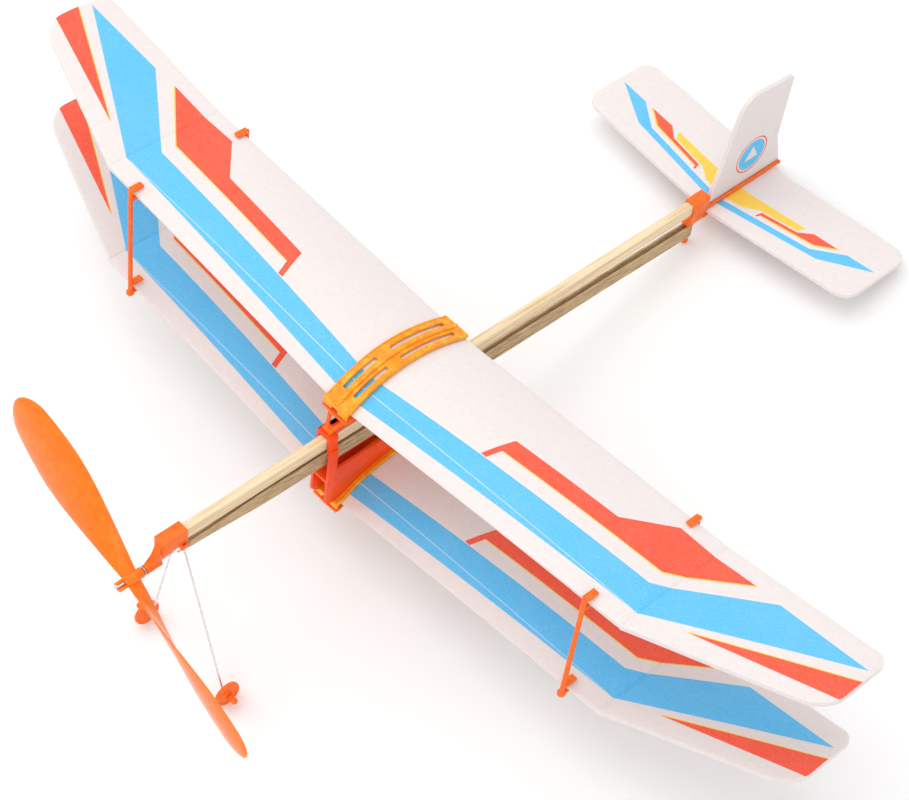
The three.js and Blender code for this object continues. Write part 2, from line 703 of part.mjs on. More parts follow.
const rubberBandPlane = new THREE.Group();
rubberBandPlane.add(airframe);
rubberBandPlane.updateMatrixWorld(true);

export default rubberBandPlane;
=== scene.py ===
import json
import math

import bmesh
import bpy
from mathutils import Matrix, Vector


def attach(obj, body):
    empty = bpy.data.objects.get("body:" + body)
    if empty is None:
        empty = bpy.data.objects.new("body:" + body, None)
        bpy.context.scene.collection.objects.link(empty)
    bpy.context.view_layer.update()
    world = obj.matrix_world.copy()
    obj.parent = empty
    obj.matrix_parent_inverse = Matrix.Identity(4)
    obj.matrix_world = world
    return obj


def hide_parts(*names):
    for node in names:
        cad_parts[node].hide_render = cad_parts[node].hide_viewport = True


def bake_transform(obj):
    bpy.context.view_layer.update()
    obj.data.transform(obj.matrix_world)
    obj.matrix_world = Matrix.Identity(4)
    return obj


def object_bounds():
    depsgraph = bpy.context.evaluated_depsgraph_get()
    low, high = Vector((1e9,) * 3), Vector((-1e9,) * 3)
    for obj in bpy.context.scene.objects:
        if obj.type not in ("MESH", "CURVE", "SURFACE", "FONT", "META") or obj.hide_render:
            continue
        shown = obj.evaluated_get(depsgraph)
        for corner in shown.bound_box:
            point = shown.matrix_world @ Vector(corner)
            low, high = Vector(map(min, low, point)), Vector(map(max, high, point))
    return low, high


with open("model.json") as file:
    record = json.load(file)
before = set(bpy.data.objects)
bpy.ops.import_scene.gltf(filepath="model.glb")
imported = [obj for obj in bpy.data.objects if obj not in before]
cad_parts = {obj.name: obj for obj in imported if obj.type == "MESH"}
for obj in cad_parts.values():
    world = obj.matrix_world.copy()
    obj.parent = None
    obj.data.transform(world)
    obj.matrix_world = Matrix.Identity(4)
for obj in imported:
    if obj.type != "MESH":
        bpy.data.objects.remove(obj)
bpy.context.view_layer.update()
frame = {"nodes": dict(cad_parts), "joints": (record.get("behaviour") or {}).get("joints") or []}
scene = bpy.context.scene

# ---------------------------------------------------------------- airframe
# The plane stands on its wheels and its tail foot, nose up. It's drawn in its own
# axes, in millimetres: X along the span, Y from nose to tail, Z up off the stick's
# centre line. The propeller shaft's joint says where those axes lie.
MM = 0.001
SHAFT_STATION, SHAFT_HEIGHT = -91.0, -8.3
shaft_joint = next(joint for joint in frame["joints"] if joint["name"] == "shaft_spin")
SPANWISE = Vector((1, 0, 0))
AFT = Vector(shaft_joint["axis"]).normalized()
UPWARD = SPANWISE.cross(AFT)
STICK_DATUM = Vector(shaft_joint["pos_m"]) - MM * (SHAFT_STATION * AFT + SHAFT_HEIGHT * UPWARD)
AIRFRAME_AXES = Matrix((SPANWISE, AFT, UPWARD)).transposed().to_4x4()
TO_ROW = Matrix.Translation(STICK_DATUM) @ AIRFRAME_AXES @ Matrix.Scale(MM, 4)


def finish_piece(name, mesh, body, nodes, materials, crisp=32):
    """A mesh drawn in airframe millimetres becomes a named piece that stands for its CAD nodes."""
    place = mesh.attributes.new("airframe_mm", "FLOAT_VECTOR", "POINT")
    flat = [value for vertex in mesh.vertices for value in vertex.co]
    place.data.foreach_set("vector", flat)
    mesh.transform(TO_ROW)
    for index, material in enumerate(materials):
        if index < len(mesh.materials):
            mesh.materials[index] = material
        else:
            mesh.materials.append(material)
    mesh.polygons.foreach_set("use_smooth", [True] * len(mesh.polygons))
    mesh.set_sharp_from_angle(angle=math.radians(crisp))
    mesh.name = name
    piece = bpy.data.objects.new(name, mesh)
    scene.collection.objects.link(piece)
    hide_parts(*nodes)
    if body:
        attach(piece, body)
    return piece


def evaluated(maker, modifiers=()):
    """The plain mesh that a temporary object gives with its modifiers."""
    scene.collection.objects.link(maker)
    for kind, settings in modifiers:
        modifier = maker.modifiers.new(kind, kind)
        for key, value in settings.items():
            setattr(modifier, key, value)
    bpy.context.view_layer.update()
    mesh = bpy.data.meshes.new_from_object(maker.evaluated_get(bpy.context.evaluated_depsgraph_get()))
    bpy.data.objects.remove(maker)
    return mesh


def from_bmesh(shape, name="shape"):
    mesh = bpy.data.meshes.new(name)
    shape.to_mesh(mesh)
    shape.free()
    return mesh


# ------------------------------------------------------------------ studio
# A pale seamless floor, broad soft lights and the camera above the right wing's
# front, turned a little so that the fuselage runs up to the right.
def link(name, data):
    thing = bpy.data.objects.new(name, data)
    scene.collection.objects.link(thing)
    return thing


floor_shape = bmesh.new()
bmesh.ops.create_grid(floor_shape, x_segments=2, y_segments=2, size=6)
floor_mesh = from_bmesh(floor_shape, "studio_floor")
floor = link("studio_floor", floor_mesh)
floor.location.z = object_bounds()[0][2]
floor_paper = bpy.data.materials.new("studio_paper")
floor_paper.use_nodes = True
floor_paper.node_tree.nodes["Principled BSDF"].inputs["Base Color"].default_value = (0.93, 0.93, 0.93, 1)
floor_paper.node_tree.nodes["Principled BSDF"].inputs["Roughness"].default_value = 0.9
floor_mesh.materials.append(floor_paper)

studio_air = bpy.data.worlds.new("studio_air")
scene.world = studio_air
studio_air.use_nodes = True
studio_air.node_tree.nodes["Background"].inputs["Color"].default_value = (1, 1, 1, 1)
studio_air.node_tree.nodes["Background"].inputs["Strength"].default_value = 0.75
scene.view_settings.view_transform = "Standard"


def softbox(name, place, aim, size, watts, tint=(1, 1, 1)):
    lamp = bpy.data.lights.new(name, "AREA")
    lamp.shape = "SQUARE"
    lamp.size = size
    lamp.energy = watts
    lamp.color = tint
    holder = link(name, lamp)
    holder.location = place
    holder.rotation_euler = (Vector(place) - Vector(aim)).to_track_quat("Z", "Y").to_euler()


softbox("softbox_above", (-0.3, 0.2, 1.6), (0, 0, 0.05), 1.6, 11)
softbox("softbox_front", (1.1, -1.1, 1.1), (0, 0, 0.05), 1.2, 5)
softbox("softbox_left", (-1.2, -0.5, 0.9), (0, 0, 0.05), 1.0, 4, (1, 0.97, 0.94))

CAMERA_AZIMUTH, CAMERA_ELEVATION, CAMERA_ROLL = 53.255, 58.477, -7.467
CAMERA_DISTANCE, CAMERA_LENS = 0.883, 93.96
CAMERA_AIM = Vector((0.0177, -0.0285, 0.06))
azimuth, elevation = math.radians(CAMERA_AZIMUTH), math.radians(CAMERA_ELEVATION)
level = math.cos(elevation)
toward = Vector((math.sin(azimuth) * level, -math.cos(azimuth) * level, math.sin(elevation)))
camera_data = bpy.data.cameras.new("camera")
camera_data.lens = CAMERA_LENS
camera_data.clip_start = 0.01
camera = link("camera", camera_data)
turn = toward.to_track_quat("Z", "Y") @ Matrix.Rotation(math.radians(CAMERA_ROLL), 3, "Z").to_quaternion()
camera.rotation_euler = turn.to_euler()
camera.location = CAMERA_AIM + toward * CAMERA_DISTANCE
scene.camera = camera

# -------------------------------------------------------------- foam wings
# Both wings are one sheet of fine-beaded white foam each, arched over the chord and
# folded up at the tips along a pressed crease. The top is printed in blue, red and a
# slightly misplaced yellow, and a line is scored along the leading edge.
HALF_SPAN, CREASE, CHORD = 210.0, 138.5, 57.5
CREASE_SWEEP, TIP_SWEEP = 3.0, 25.0
FRONT_CORNER, REAR_CORNER = 9.0, 5.0
FOAM = 2.0
CAMBER, TIP_CAMBER, CAMBER_FORWARD = 8.0, 0.6, 0.17
INNER_DIHEDRAL = math.radians(4.25)
CENTRE_DROOP, CREASE_RISE = 1.2, 0.8
UPPER = {"height": 16.8, "tip": math.radians(9)}
LOWER = {"height": -34.9, "tip": math.radians(12)}


def corner_cut(u, half_span, radius):
    past = max(0.0, abs(u) - (half_span - radius))
    return radius - math.sqrt(max(0.0, radius * radius - past * past))


def leading_edge(u):
    out = abs(u)
    inner = min(out, CREASE) / CREASE * CREASE_SWEEP
    tip = max(0.0, out - CREASE) / (HALF_SPAN - CREASE) * (TIP_SWEEP - CREASE_SWEEP)
    return inner + tip + corner_cut(u, HALF_SPAN, FRONT_CORNER)


def trailing_edge(u):
    return CHORD - corner_cut(u, HALF_SPAN, REAR_CORNER)


def wing_surface(wing, u, y):
    """A point of the wing's printed face, u along the sheet and y back from its leading edge."""
    out = abs(u)
    inner, tip = min(out, CREASE), max(0.0, out - CREASE)
    front, rear = leading_edge(min(out, HALF_SPAN - 0.05)), trailing_edge(min(out, HALF_SPAN - 0.05))
    share = (y - front) / (rear - front)
    arch = TIP_CAMBER + (CAMBER - TIP_CAMBER) * (1 - (inner / CREASE) ** 2)
    bow = 4 * arch * share * (1 - share) * (1 + CAMBER_FORWARD * (1 - 2 * share))
    nod = -CENTRE_DROOP + (CENTRE_DROOP + CREASE_RISE) * inner / CREASE
    x = inner * math.cos(INNER_DIHEDRAL) + tip * math.cos(wing["tip"])
    rise = inner * math.sin(INNER_DIHEDRAL) + tip * math.sin(wing["tip"])
    return Vector((math.copysign(x, u), y, wing["height"] + rise + bow + nod * (1 - 2 * share)))


def inside(point, corners):
    """Whether a point of the sheet lies in a printed shape."""
    x, y = point
    odd = False
    for (x0, y0), (x1, y1) in zip(corners, corners[1:] + corners[:1]):
        if (y0 > y) != (y1 > y) and x < (x1 - x0) * (y - y0) / (y1 - y0) + x0:
            odd = not odd
    return odd


def cut_sheet(sheet, point, along, reach=None):
    """Score a straight cut through the sheet's faces, only those near reach if it's given."""
    faces = sheet.faces[:]
    if reach:
        (low_x, low_y), (high_x, high_y) = reach
        faces = [
            face
            for face in faces
            if max(v.co.x for v in face.verts) > low_x
            and min(v.co.x for v in face.verts) < high_x
            and max(v.co.y for v in face.verts) > low_y
            and min(v.co.y for v in face.verts) < high_y
        ]
    edges = {edge for face in faces for edge in face.edges}
    verts = {vert for face in faces for vert in face.verts}
    bmesh.ops.bisect_plane(
        sheet,
        geom=faces + list(edges) + list(verts),
        dist=1e-4,
        plane_co=(point[0], point[1], 0),
        plane_no=(-along[1], along[0], 0),
    )


def printed_sheet(outline, prints, grid, surface, thickness):
    """A foam sheet with printed shapes cut into its top: a flat outline, cut, bent onto a surface
    and given its thickness. Colour 0 is bare foam, and the underside and rim stay bare."""
    sheet = bmesh.new()
    sheet.faces.new([sheet.verts.new((x, y, 0)) for x, y in outline])
    for axis, places in enumerate(grid):
        for value in places:
            point = (value, 0) if axis == 0 else (0, value)
            cut_sheet(sheet, point, (0, 1) if axis == 0 else (1, 0))
    for colour, corners in prints:
        xs, ys = [p[0] for p in corners], [p[1] for p in corners]
        reach = ((min(xs), min(ys)), (max(xs), max(ys)))
        for start, end in zip(corners, corners[1:] + corners[:1]):
            along = Vector((end[0] - start[0], end[1] - start[1])).normalized()
            cut_sheet(sheet, start, along, reach)
    for face in sheet.faces:
        centre = face.calc_center_median()
        for colour, corners in prints:
            if inside((centre.x, centre.y), corners):
                face.material_index = colour
    bmesh.ops.triangulate(sheet, faces=[face for face in sheet.faces if len(face.verts) > 4])
    sheet.faces.ensure_lookup_table()
    if sheet.faces[0].normal.z < 0:
        bmesh.ops.reverse_faces(sheet, faces=sheet.faces[:])
    for vert in sheet.verts:
        vert.co = surface(vert.co.x, vert.co.y)
    sheet.normal_update()
    maker = bpy.data.objects.new("foam_sheet", from_bmesh(sheet))
    thicken = {"thickness": thickness, "offset": -1, "material_offset": -9, "material_offset_rim": -9}
    edge = {"width": 0.35, "segments": 2, "limit_method": "ANGLE", "angle_limit": math.radians(55)}
    for _ in range(6):
        maker.data.materials.append(None)
    return evaluated(maker, [("SOLIDIFY", thicken), ("BEVEL", edge)])


def shader_group(name, inputs, outputs):
    """An empty node group whose inputs and outputs are listed as (name, socket type, start value)."""
    group = bpy.data.node_groups.new(name, "ShaderNodeTree")
    for label, kind, start in inputs:
        socket = group.interface.new_socket(label, in_out="INPUT", socket_type=kind)
        if start is not None:
            socket.default_value = start
    for label, kind in outputs:
        group.interface.new_socket(label, in_out="OUTPUT", socket_type=kind)
    entry, leave = group.nodes.new("NodeGroupInput"), group.nodes.new("NodeGroupOutput")
    return group, entry, leave


def node(tree, kind, settings=None, **links):
    """A node with its settings, whose named inputs are fed by sockets or set to values."""
    made = tree.nodes.new(kind)
    for key, value in (settings or {}).items():
        setattr(made, key, value)
    for key, value in links.items():
        by_place = key[0] == "i" and key[1:].isdigit()
        socket = made.inputs[int(key[1:]) if by_place else key.replace("_", " ")]
        if isinstance(value, bpy.types.NodeSocket):
            tree.links.new(value, socket)
        else:
            socket.default_value = value
    return made


def airframe_place(tree):
    return node(tree, "ShaderNodeAttribute", {"attribute_name": "airframe_mm"}).outputs["Vector"]


def ramp(tree, value, low, high):
    """0 below low, 1 above high, smooth between."""
    made = node(tree, "ShaderNodeMapRange", {"interpolation_type": "SMOOTHSTEP"}, Value=value)
    made.inputs["From Min"].default_value = low
    made.inputs["From Max"].default_value = high
    return made.outputs["Result"]


def sum_of(tree, kind, first, second):
    return node(tree, "ShaderNodeMath", {"operation": kind}, i0=first, i1=second).outputs[0]


def blend_colour(tree, share, first, second, kind="MIX"):
    made = tree.nodes.new("ShaderNodeMix")
    made.data_type = "RGBA"
    made.blend_type = kind
    for index, value in ((0, share), (6, first), (7, second)):
        if isinstance(value, bpy.types.NodeSocket):
            tree.links.new(value, made.inputs[index])
        else:
            made.inputs[index].default_value = value
    return made.outputs[2]


def new_material(name):
    material = bpy.data.materials.new(name)
    material.use_nodes = True
    return material, material.node_tree, material.node_tree.nodes["Principled BSDF"]


def add_relief(tree, surface, height, strength, depth):
    """Bump from a height socket, its depth in millimetres."""
    bump = node(tree, "ShaderNodeBump", None, Height=height)
    bump.inputs["Strength"].default_value = strength
    bump.inputs["Distance"].default_value = depth * MM
    tree.links.new(bump.outputs["Normal"], surface.inputs["Normal"])


# Fine foam beads: cells of about a millimetre with pressed seams, and ink that
# misses the seams and some beads.
bead_group, bead_in, bead_out = shader_group(
    "foam_beads",
    [("Place", "NodeSocketVector", None), ("Bead", "NodeSocketFloat", 1.2),
     ("Ink", "NodeSocketColor", (1, 1, 1, 1)), ("Bare", "NodeSocketColor", (1, 1, 1, 1)),
     ("Coverage", "NodeSocketFloat", 0.5)],
    [("Colour", "NodeSocketColor"), ("Height", "NodeSocketFloat"), ("Roughness", "NodeSocketFloat")],
)
bead_scale = sum_of(bead_group, "DIVIDE", 1.0, bead_in.outputs["Bead"])
bead_place = bead_in.outputs["Place"]
seams = node(bead_group, "ShaderNodeTexVoronoi", {"feature": "DISTANCE_TO_EDGE"}, Vector=bead_place,
             Scale=bead_scale)
cells = node(bead_group, "ShaderNodeTexVoronoi", {"feature": "F1"}, Vector=bead_place, Scale=bead_scale)
cell_tone = node(bead_group, "ShaderNodeSeparateColor", None, Color=cells.outputs["Color"]).outputs[0]
fine_noise = node(bead_group, "ShaderNodeTexNoise", None, Vector=bead_place, Scale=2.6, Detail=3.0)
broad_noise = node(bead_group, "ShaderNodeTexNoise", None, Vector=bead_place, Scale=0.06, Detail=2.0)
seam_mask = ramp(bead_group, seams.outputs["Distance"], 0.0, 0.09)
grain_mask = ramp(bead_group, fine_noise.outputs["Fac"], 0.5, 0.72)
missed = sum_of(bead_group, "MULTIPLY", grain_mask, bead_in.outputs["Coverage"])
mottled = blend_colour(bead_group, sum_of(bead_group, "MULTIPLY", cell_tone, 0.04),
                       bead_in.outputs["Ink"], (0, 0, 0, 1))
speckled = blend_colour(bead_group, missed, mottled, bead_in.outputs["Bare"])
seam_share = sum_of(bead_group, "MULTIPLY", sum_of(bead_group, "SUBTRACT", 1.0, seam_mask), 0.10)
seamed = blend_colour(bead_group, seam_share, speckled, bead_in.outputs["Bare"])
aged = blend_colour(bead_group, sum_of(bead_group, "MULTIPLY", broad_noise.outputs["Fac"], 0.06),
                    seamed, (0.9, 0.72, 0.66, 1))
bead_group.links.new(aged, bead_out.inputs["Colour"])
dome = sum_of(bead_group, "MULTIPLY", seam_mask, 0.7)
fine_relief = sum_of(bead_group, "MULTIPLY", fine_noise.outputs["Fac"], 0.3)
bead_group.links.new(sum_of(bead_group, "ADD", dome, fine_relief), bead_out.inputs["Height"])
bead_group.links.new(sum_of(bead_group, "ADD", 0.55, sum_of(bead_group, "MULTIPLY", cell_tone, 0.25)),
                     bead_out.inputs["Roughness"])

FOAM_WHITE = (0.83, 0.765, 0.75, 1)


def foam_material(name, ink, coverage, relief=0.03):
    material, tree, surface = new_material(name)
    beads = node(tree, "ShaderNodeGroup", {"node_tree": bead_group}, Place=airframe_place(tree))
    beads.inputs["Bead"].default_value = 1.0
    beads.inputs["Ink"].default_value = ink
    beads.inputs["Bare"].default_value = FOAM_WHITE
    beads.inputs["Coverage"].default_value = coverage
    tree.links.new(beads.outputs["Colour"], surface.inputs["Base Color"])
    tree.links.new(beads.outputs["Roughness"], surface.inputs["Roughness"])
    add_relief(tree, surface, beads.outputs["Height"], 0.5, relief)
    surface.inputs["Specular IOR Level"].default_value = 0.35
    surface.inputs["Subsurface Weight"].default_value = 0.15
    surface.inputs["Subsurface Scale"].default_value = 0.002
    surface.inputs["Subsurface Radius"].default_value = (1.0, 0.9, 0.85)
    return material


foam_bare = foam_material("foam_white", FOAM_WHITE, 0.0, 0.05)
foam_blue = foam_material("foam_printed_blue", (0.085, 0.54, 0.95, 1), 0.12)
foam_red = foam_material("foam_printed_red", (1.0, 0.085, 0.03, 1), 0.04)
foam_yellow = foam_material("foam_printed_yellow", (1.0, 0.64, 0.05, 1), 0.06)
foam_scored = foam_material("foam_scored_line", (0.42, 0.70, 0.92, 1), 0.5)
foam_inks = [foam_bare, foam_blue, foam_red, foam_yellow, foam_scored]
BARE, BLUE, RED, YELLOW, SCORED = range(5)

# The print on one half of a wing: (distance out, distance back) in millimetres.
STRIPE = [(0, 3.9), (138.1, 11.0), (208.3, 48.1), (168.8, 49.4), (132.0, 23.5), (0, 13.9)]
WEDGE = [(156.0, 16.9), (212.0, 31.6), (212.0, 43.3)]
HOOK = [(157.3, 50.3), (122.0, 50.5), (105.5, 35.6), (58.3, 31.5), (54.0, 18.3), (56.5, 18.3), (58.7, 24.5),
        (131.7, 30.5)]
HOOK_FRINGE = [(158.0, 50.1), (157.3, 50.3), (131.7, 30.5), (58.7, 24.5), (58.9, 24.1), (131.9, 30.0)]
WEDGE_FRINGE = [(155.4, 17.1), (156.0, 16.9), (212.0, 43.3), (212.0, 43.8)]
SCORE = [(0, 9.1), (136, 10.85), (136, 11.15), (0, 9.5)]


def both_halves(half_prints):
    prints = []
    for colour, corners in half_prints:
        prints.append((colour, corners))
        prints.append((colour, [(-u, v) for u, v in reversed(corners)]))
    return prints


wing_prints = both_halves([(BLUE, STRIPE), (YELLOW, WEDGE_FRINGE), (RED, WEDGE), (YELLOW, HOOK_FRINGE),
                           (RED, HOOK), (SCORED, SCORE)])
edge_places = [HALF_SPAN * i / 42 for i in range(-42, 43)]
corner_places = [HALF_SPAN - FRONT_CORNER * (1 - math.sin(math.radians(a))) for a in range(0, 90, 9)]
edge_places = sorted(set(edge_places + corner_places + [-u for u in corner_places] + [-CREASE, CREASE]))
wing_outline = [(u, leading_edge(u)) for u in edge_places]
wing_outline += [(u, trailing_edge(u)) for u in reversed(edge_places)]
beside_crease = [side * CREASE + step for side in (-1, 1) for step in (-0.4, 0, 0.4)]
wing_grid = ([5 * i for i in range(-41, 42)] + beside_crease, [2.5 * i for i in range(1, 23)])


def pressed(wing):
    """The wing's surface with the crease pressed a little into the foam."""
    def surface(u, y):
        point = wing_surface(wing, u, y)
        if abs(abs(u) - CREASE) < 0.05:
            point.z -= 0.25
        return point
    return surface


for name, wing in (("upper_wing", UPPER), ("lower_wing", LOWER)):
    mesh = printed_sheet(wing_outline, wing_prints, wing_grid, pressed(wing), FOAM)
    finish_piece(f"foam_{name}", mesh, "wing_cell", [name], foam_inks, crisp=40)

# --------------------------------------------------------- tailplane and fin
# Two more pieces of the same foam: a flat tailplane with a slight V, and a fin
# that stands on it between two plastic rails. The fin carries a plain round badge.
TAIL_HALF, TAIL_FRONT, TAIL_REAR = 74.0, 202.4, 243.7
TAIL_TIP_FRONT, TAIL_TIP_REAR, TAIL_CORNER = 207.0, 246.6, 7.0
TAIL_HEIGHT, TAIL_V, TAIL_FOAM = -5.0, math.radians(3), 1.8
TAIL_STRIPE = [(2.0, 208.6), (50.3, 215.4), (71.2, 228.0), (57.4, 227.1), (44.8, 217.9), (2.0, 212.0)]
TAIL_HOOK = [(52.4, 226.8), (40.3, 226.1), (35.0, 221.4), (17.9, 219.0), (17.1, 215.5), (18.0, 215.5),
             (18.7, 217.3), (44.1, 221.0)]
TAIL_FLASH = [(36.2, 225.9), (12.5, 224.0), (2.0, 223.6), (2.0, 214.0), (10.0, 215.0), (16.4, 219.4),
              (34.4, 222.0)]
TAIL_FRINGE = [(44.1, 221.0), (52.4, 226.8), (53.6, 226.8), (44.5, 220.3), (19.0, 216.7), (18.7, 217.3)]
FIN_FOAM, FIN_BASE = 1.8, -4.6
BADGE_CENTRE, BADGE_RADIUS = (226.7, 11.7), 8.2


def tail_edge(u, front):
    out = abs(u) / TAIL_HALF
    cut = corner_cut(u, TAIL_HALF, TAIL_CORNER)
    if front:
        return TAIL_FRONT + (TAIL_TIP_FRONT - TAIL_FRONT) * out + cut
    return TAIL_REAR + (TAIL_TIP_REAR - TAIL_REAR) * out - cut


def tail_surface(u, y):
    return Vector((u * math.cos(TAIL_V), y, TAIL_HEIGHT + abs(u) * math.sin(TAIL_V)))


tail_corners = [TAIL_HALF - TAIL_CORNER * (1 - math.sin(math.radians(a))) for a in range(0, 91, 10)]
tail_places = sorted(set([4.0 * i for i in range(-16, 17)] + tail_corners + [-u for u in tail_corners]))
tail_outline = [(u, tail_edge(u, True)) for u in tail_places]
tail_outline += [(u, tail_edge(u, False)) for u in reversed(tail_places)]
tail_prints = both_halves([(BLUE, TAIL_STRIPE), (YELLOW, TAIL_FLASH), (YELLOW, TAIL_FRINGE),
                           (RED, TAIL_HOOK)])
tail_grid = ([4.0 * i for i in range(-18, 19)], [206 + 4.0 * i for i in range(11)])
tail_mesh = printed_sheet(tail_outline, tail_prints, tail_grid, tail_surface, TAIL_FOAM)
finish_piece("foam_tailplane", tail_mesh, "airframe", ["tailplane"], foam_inks, crisp=40)


def curve_through(points, steps):
    """A quadratic bend from the first point to the last, pulled towards the middle one."""
    (x0, y0), (x1, y1), (x2, y2) = points
    shares = [i / steps for i in range(1, steps + 1)]
    return [((1 - t) ** 2 * x0 + 2 * t * (1 - t) * x1 + t * t * x2,
             (1 - t) ** 2 * y0 + 2 * t * (1 - t) * y1 + t * t * y2) for t in shares]


def disc(centre, radius, sides=40):
    turns = [2 * math.pi * i / sides for i in range(sides)]
    return [(centre[0] + radius * math.cos(a), centre[1] + radius * math.sin(a)) for a in turns]


fin_outline = [(203.4, FIN_BASE), (207.6, FIN_BASE + 18)]
fin_outline += curve_through([(207.6, FIN_BASE + 18), (209.6, FIN_BASE + 32), (211.4, FIN_BASE + 44)], 6)
fin_outline += curve_through([(211.4, FIN_BASE + 44), (212.8, FIN_BASE + 52.5), (219.5, FIN_BASE + 53)], 8)
fin_outline += [(240.3, FIN_BASE + 51.6)]
fin_outline += curve_through([(240.3, FIN_BASE + 51.6), (242.7, FIN_BASE + 51.4), (242.7, FIN_BASE + 49)], 5)
fin_outline += [(242.7, FIN_BASE + 18), (248.6, FIN_BASE)]
badge_triangle = [(BADGE_CENTRE[0] + 4.6 * math.sin(a), BADGE_CENTRE[1] + 4.6 * math.cos(a))
                  for a in (0, 2 * math.pi / 3, 4 * math.pi / 3)]
badge_prints = [(RED, disc(BADGE_CENTRE, BADGE_RADIUS + 1.1)), (BARE, disc(BADGE_CENTRE, BADGE_RADIUS + 0.4)),
                (BLUE, disc(BADGE_CENTRE, BADGE_RADIUS - 0.4)), (BARE, badge_triangle)]
fin_grid = ([206 + 6.0 * i for i in range(7)], [6.0 * i for i in range(8)])


def fin_half():
    """The fin's right face and half its thickness. Its mirror makes the left half, badge and all."""
    def cheek(y, z):
        return Vector((FIN_FOAM / 2, y, z))

    return printed_sheet(fin_outline, badge_prints, fin_grid, cheek, FIN_FOAM / 2)


fin_shape = bmesh.new()
for side in (1, -1):
    fin_part = bmesh.new()
    fin_part.from_mesh(fin_half())
    if side < 0:
        bmesh.ops.scale(fin_part, vec=(-1, 1, 1), verts=fin_part.verts)
        bmesh.ops.reverse_faces(fin_part, faces=fin_part.faces[:])
    fin_shape.from_mesh(from_bmesh(fin_part))
finish_piece("foam_fin", from_bmesh(fin_shape), "airframe", ["fin"], foam_inks, crisp=40)

# ---------------------------------------------------------- wooden fuselage
# The fuselage is a bare stick of straight-grained pine, sawn to 3.6 by 5.4 mm and
# lightly sanded on its edges.
STICK_WIDTH, STICK_HEIGHT, STICK_FRONT, STICK_REAR = 3.6, 5.4, -81.0, 200.0
stick_shape = bmesh.new()
bmesh.ops.create_cube(stick_shape, size=1)
for vert in stick_shape.verts:
    station = (vert.co.y + 0.5) * (STICK_REAR - STICK_FRONT) + STICK_FRONT
    vert.co = Vector((vert.co.x * STICK_WIDTH, station, vert.co.z * STICK_HEIGHT))
for i in range(1, 90):
    y = STICK_FRONT + (STICK_REAR - STICK_FRONT) * i / 90
    everything = stick_shape.verts[:] + stick_shape.edges[:] + stick_shape.faces[:]
    bmesh.ops.bisect_plane(stick_shape, geom=everything, plane_co=(0, y, 0), plane_no=(0, 1, 0))
for vert in stick_shape.verts:
    y = vert.co.y
    sanding = 1 - 0.006 * (1 + math.sin(0.31 * y + 2 * math.sin(0.05 * y)))
    vert.co.x *= sanding
    vert.co.z *= sanding
stick_maker = bpy.data.objects.new("stick", from_bmesh(stick_shape))
stick_mesh = evaluated(stick_maker, [("BEVEL", {"width": 0.3, "segments": 3, "limit_method": "ANGLE"})])

pine, tree, surface = new_material("bare_pine")
along_grain = node(tree, "ShaderNodeMapping", None, Vector=airframe_place(tree))
along_grain.inputs["Scale"].default_value = (1.0, 0.02, 1.0)
along_grain.inputs["Rotation"].default_value = (0, math.radians(18), 0)
rings = node(tree, "ShaderNodeTexNoise", None, Vector=along_grain.outputs[0], Scale=1.1, Detail=3.0,
             Distortion=0.4)
fibres = node(tree, "ShaderNodeTexNoise", None, Vector=along_grain.outputs[0], Scale=7.0, Detail=4.0)
pores = node(tree, "ShaderNodeTexNoise", None, Vector=along_grain.outputs[0], Scale=16.0, Detail=2.0)
EARLY_WOOD, LATE_WOOD = (0.88, 0.71, 0.46, 1), (0.70, 0.47, 0.25, 1)
PALE_FIBRE, DARK_PORE = (0.93, 0.79, 0.56, 1), (0.42, 0.25, 0.12, 1)
late_wood = ramp(tree, rings.outputs["Fac"], 0.42, 0.66)
wood_tone = blend_colour(tree, late_wood, EARLY_WOOD, LATE_WOOD)
fibre_share = sum_of(tree, "MULTIPLY", ramp(tree, fibres.outputs["Fac"], 0.45, 0.7), 0.45)
wood_tone = blend_colour(tree, fibre_share, wood_tone, PALE_FIBRE)
pore_share = sum_of(tree, "MULTIPLY", ramp(tree, pores.outputs["Fac"], 0.62, 0.72), 0.5)
wood_tone = blend_colour(tree, pore_share, wood_tone, DARK_PORE)
tree.links.new(wood_tone, surface.inputs["Base Color"])
fibre_roughness = sum_of(tree, "MULTIPLY", fibres.outputs["Fac"], 0.25)
tree.links.new(sum_of(tree, "ADD", 0.5, fibre_roughness), surface.inputs["Roughness"])
add_relief(tree, surface, fibres.outputs["Fac"], 0.5, 0.06)
finish_piece("pine_stick", stick_mesh, "airframe", ["fuselage_stick"], [pine])

# --------------------------------------------------------- moulded fittings
# The fittings are glossy, slightly translucent orange plastic, moulded in one
# frame and snapped apart. Edges are rounded, and the surface has faint flow lines.
flow_group, flow_in, flow_out = shader_group(
    "moulding_flow",
    [("Place", "NodeSocketVector", None), ("Colour", "NodeSocketColor", (1, 0.3, 0.05, 1)),
     ("Thin", "NodeSocketColor", (1, 0.5, 0.1, 1)), ("Gloss", "NodeSocketFloat", 0.25)],
    [("Colour", "NodeSocketColor"), ("Roughness", "NodeSocketFloat"), ("Height", "NodeSocketFloat")],
)
swirl = node(flow_group, "ShaderNodeTexNoise", None, Vector=flow_in.outputs["Place"], Scale=0.22, Detail=3.0,
             Distortion=1.2)
scuffs = node(flow_group, "ShaderNodeTexNoise", None, Vector=flow_in.outputs["Place"], Scale=3.0, Detail=5.0)
dimples = node(flow_group, "ShaderNodeTexNoise", None, Vector=flow_in.outputs["Place"], Scale=0.9, Detail=2.0)
swirl_share = ramp(flow_group, swirl.outputs["Fac"], 0.40, 0.70)
flow_colour = blend_colour(flow_group, swirl_share, flow_in.outputs["Colour"], flow_in.outputs["Thin"])
flow_group.links.new(flow_colour, flow_out.inputs["Colour"])
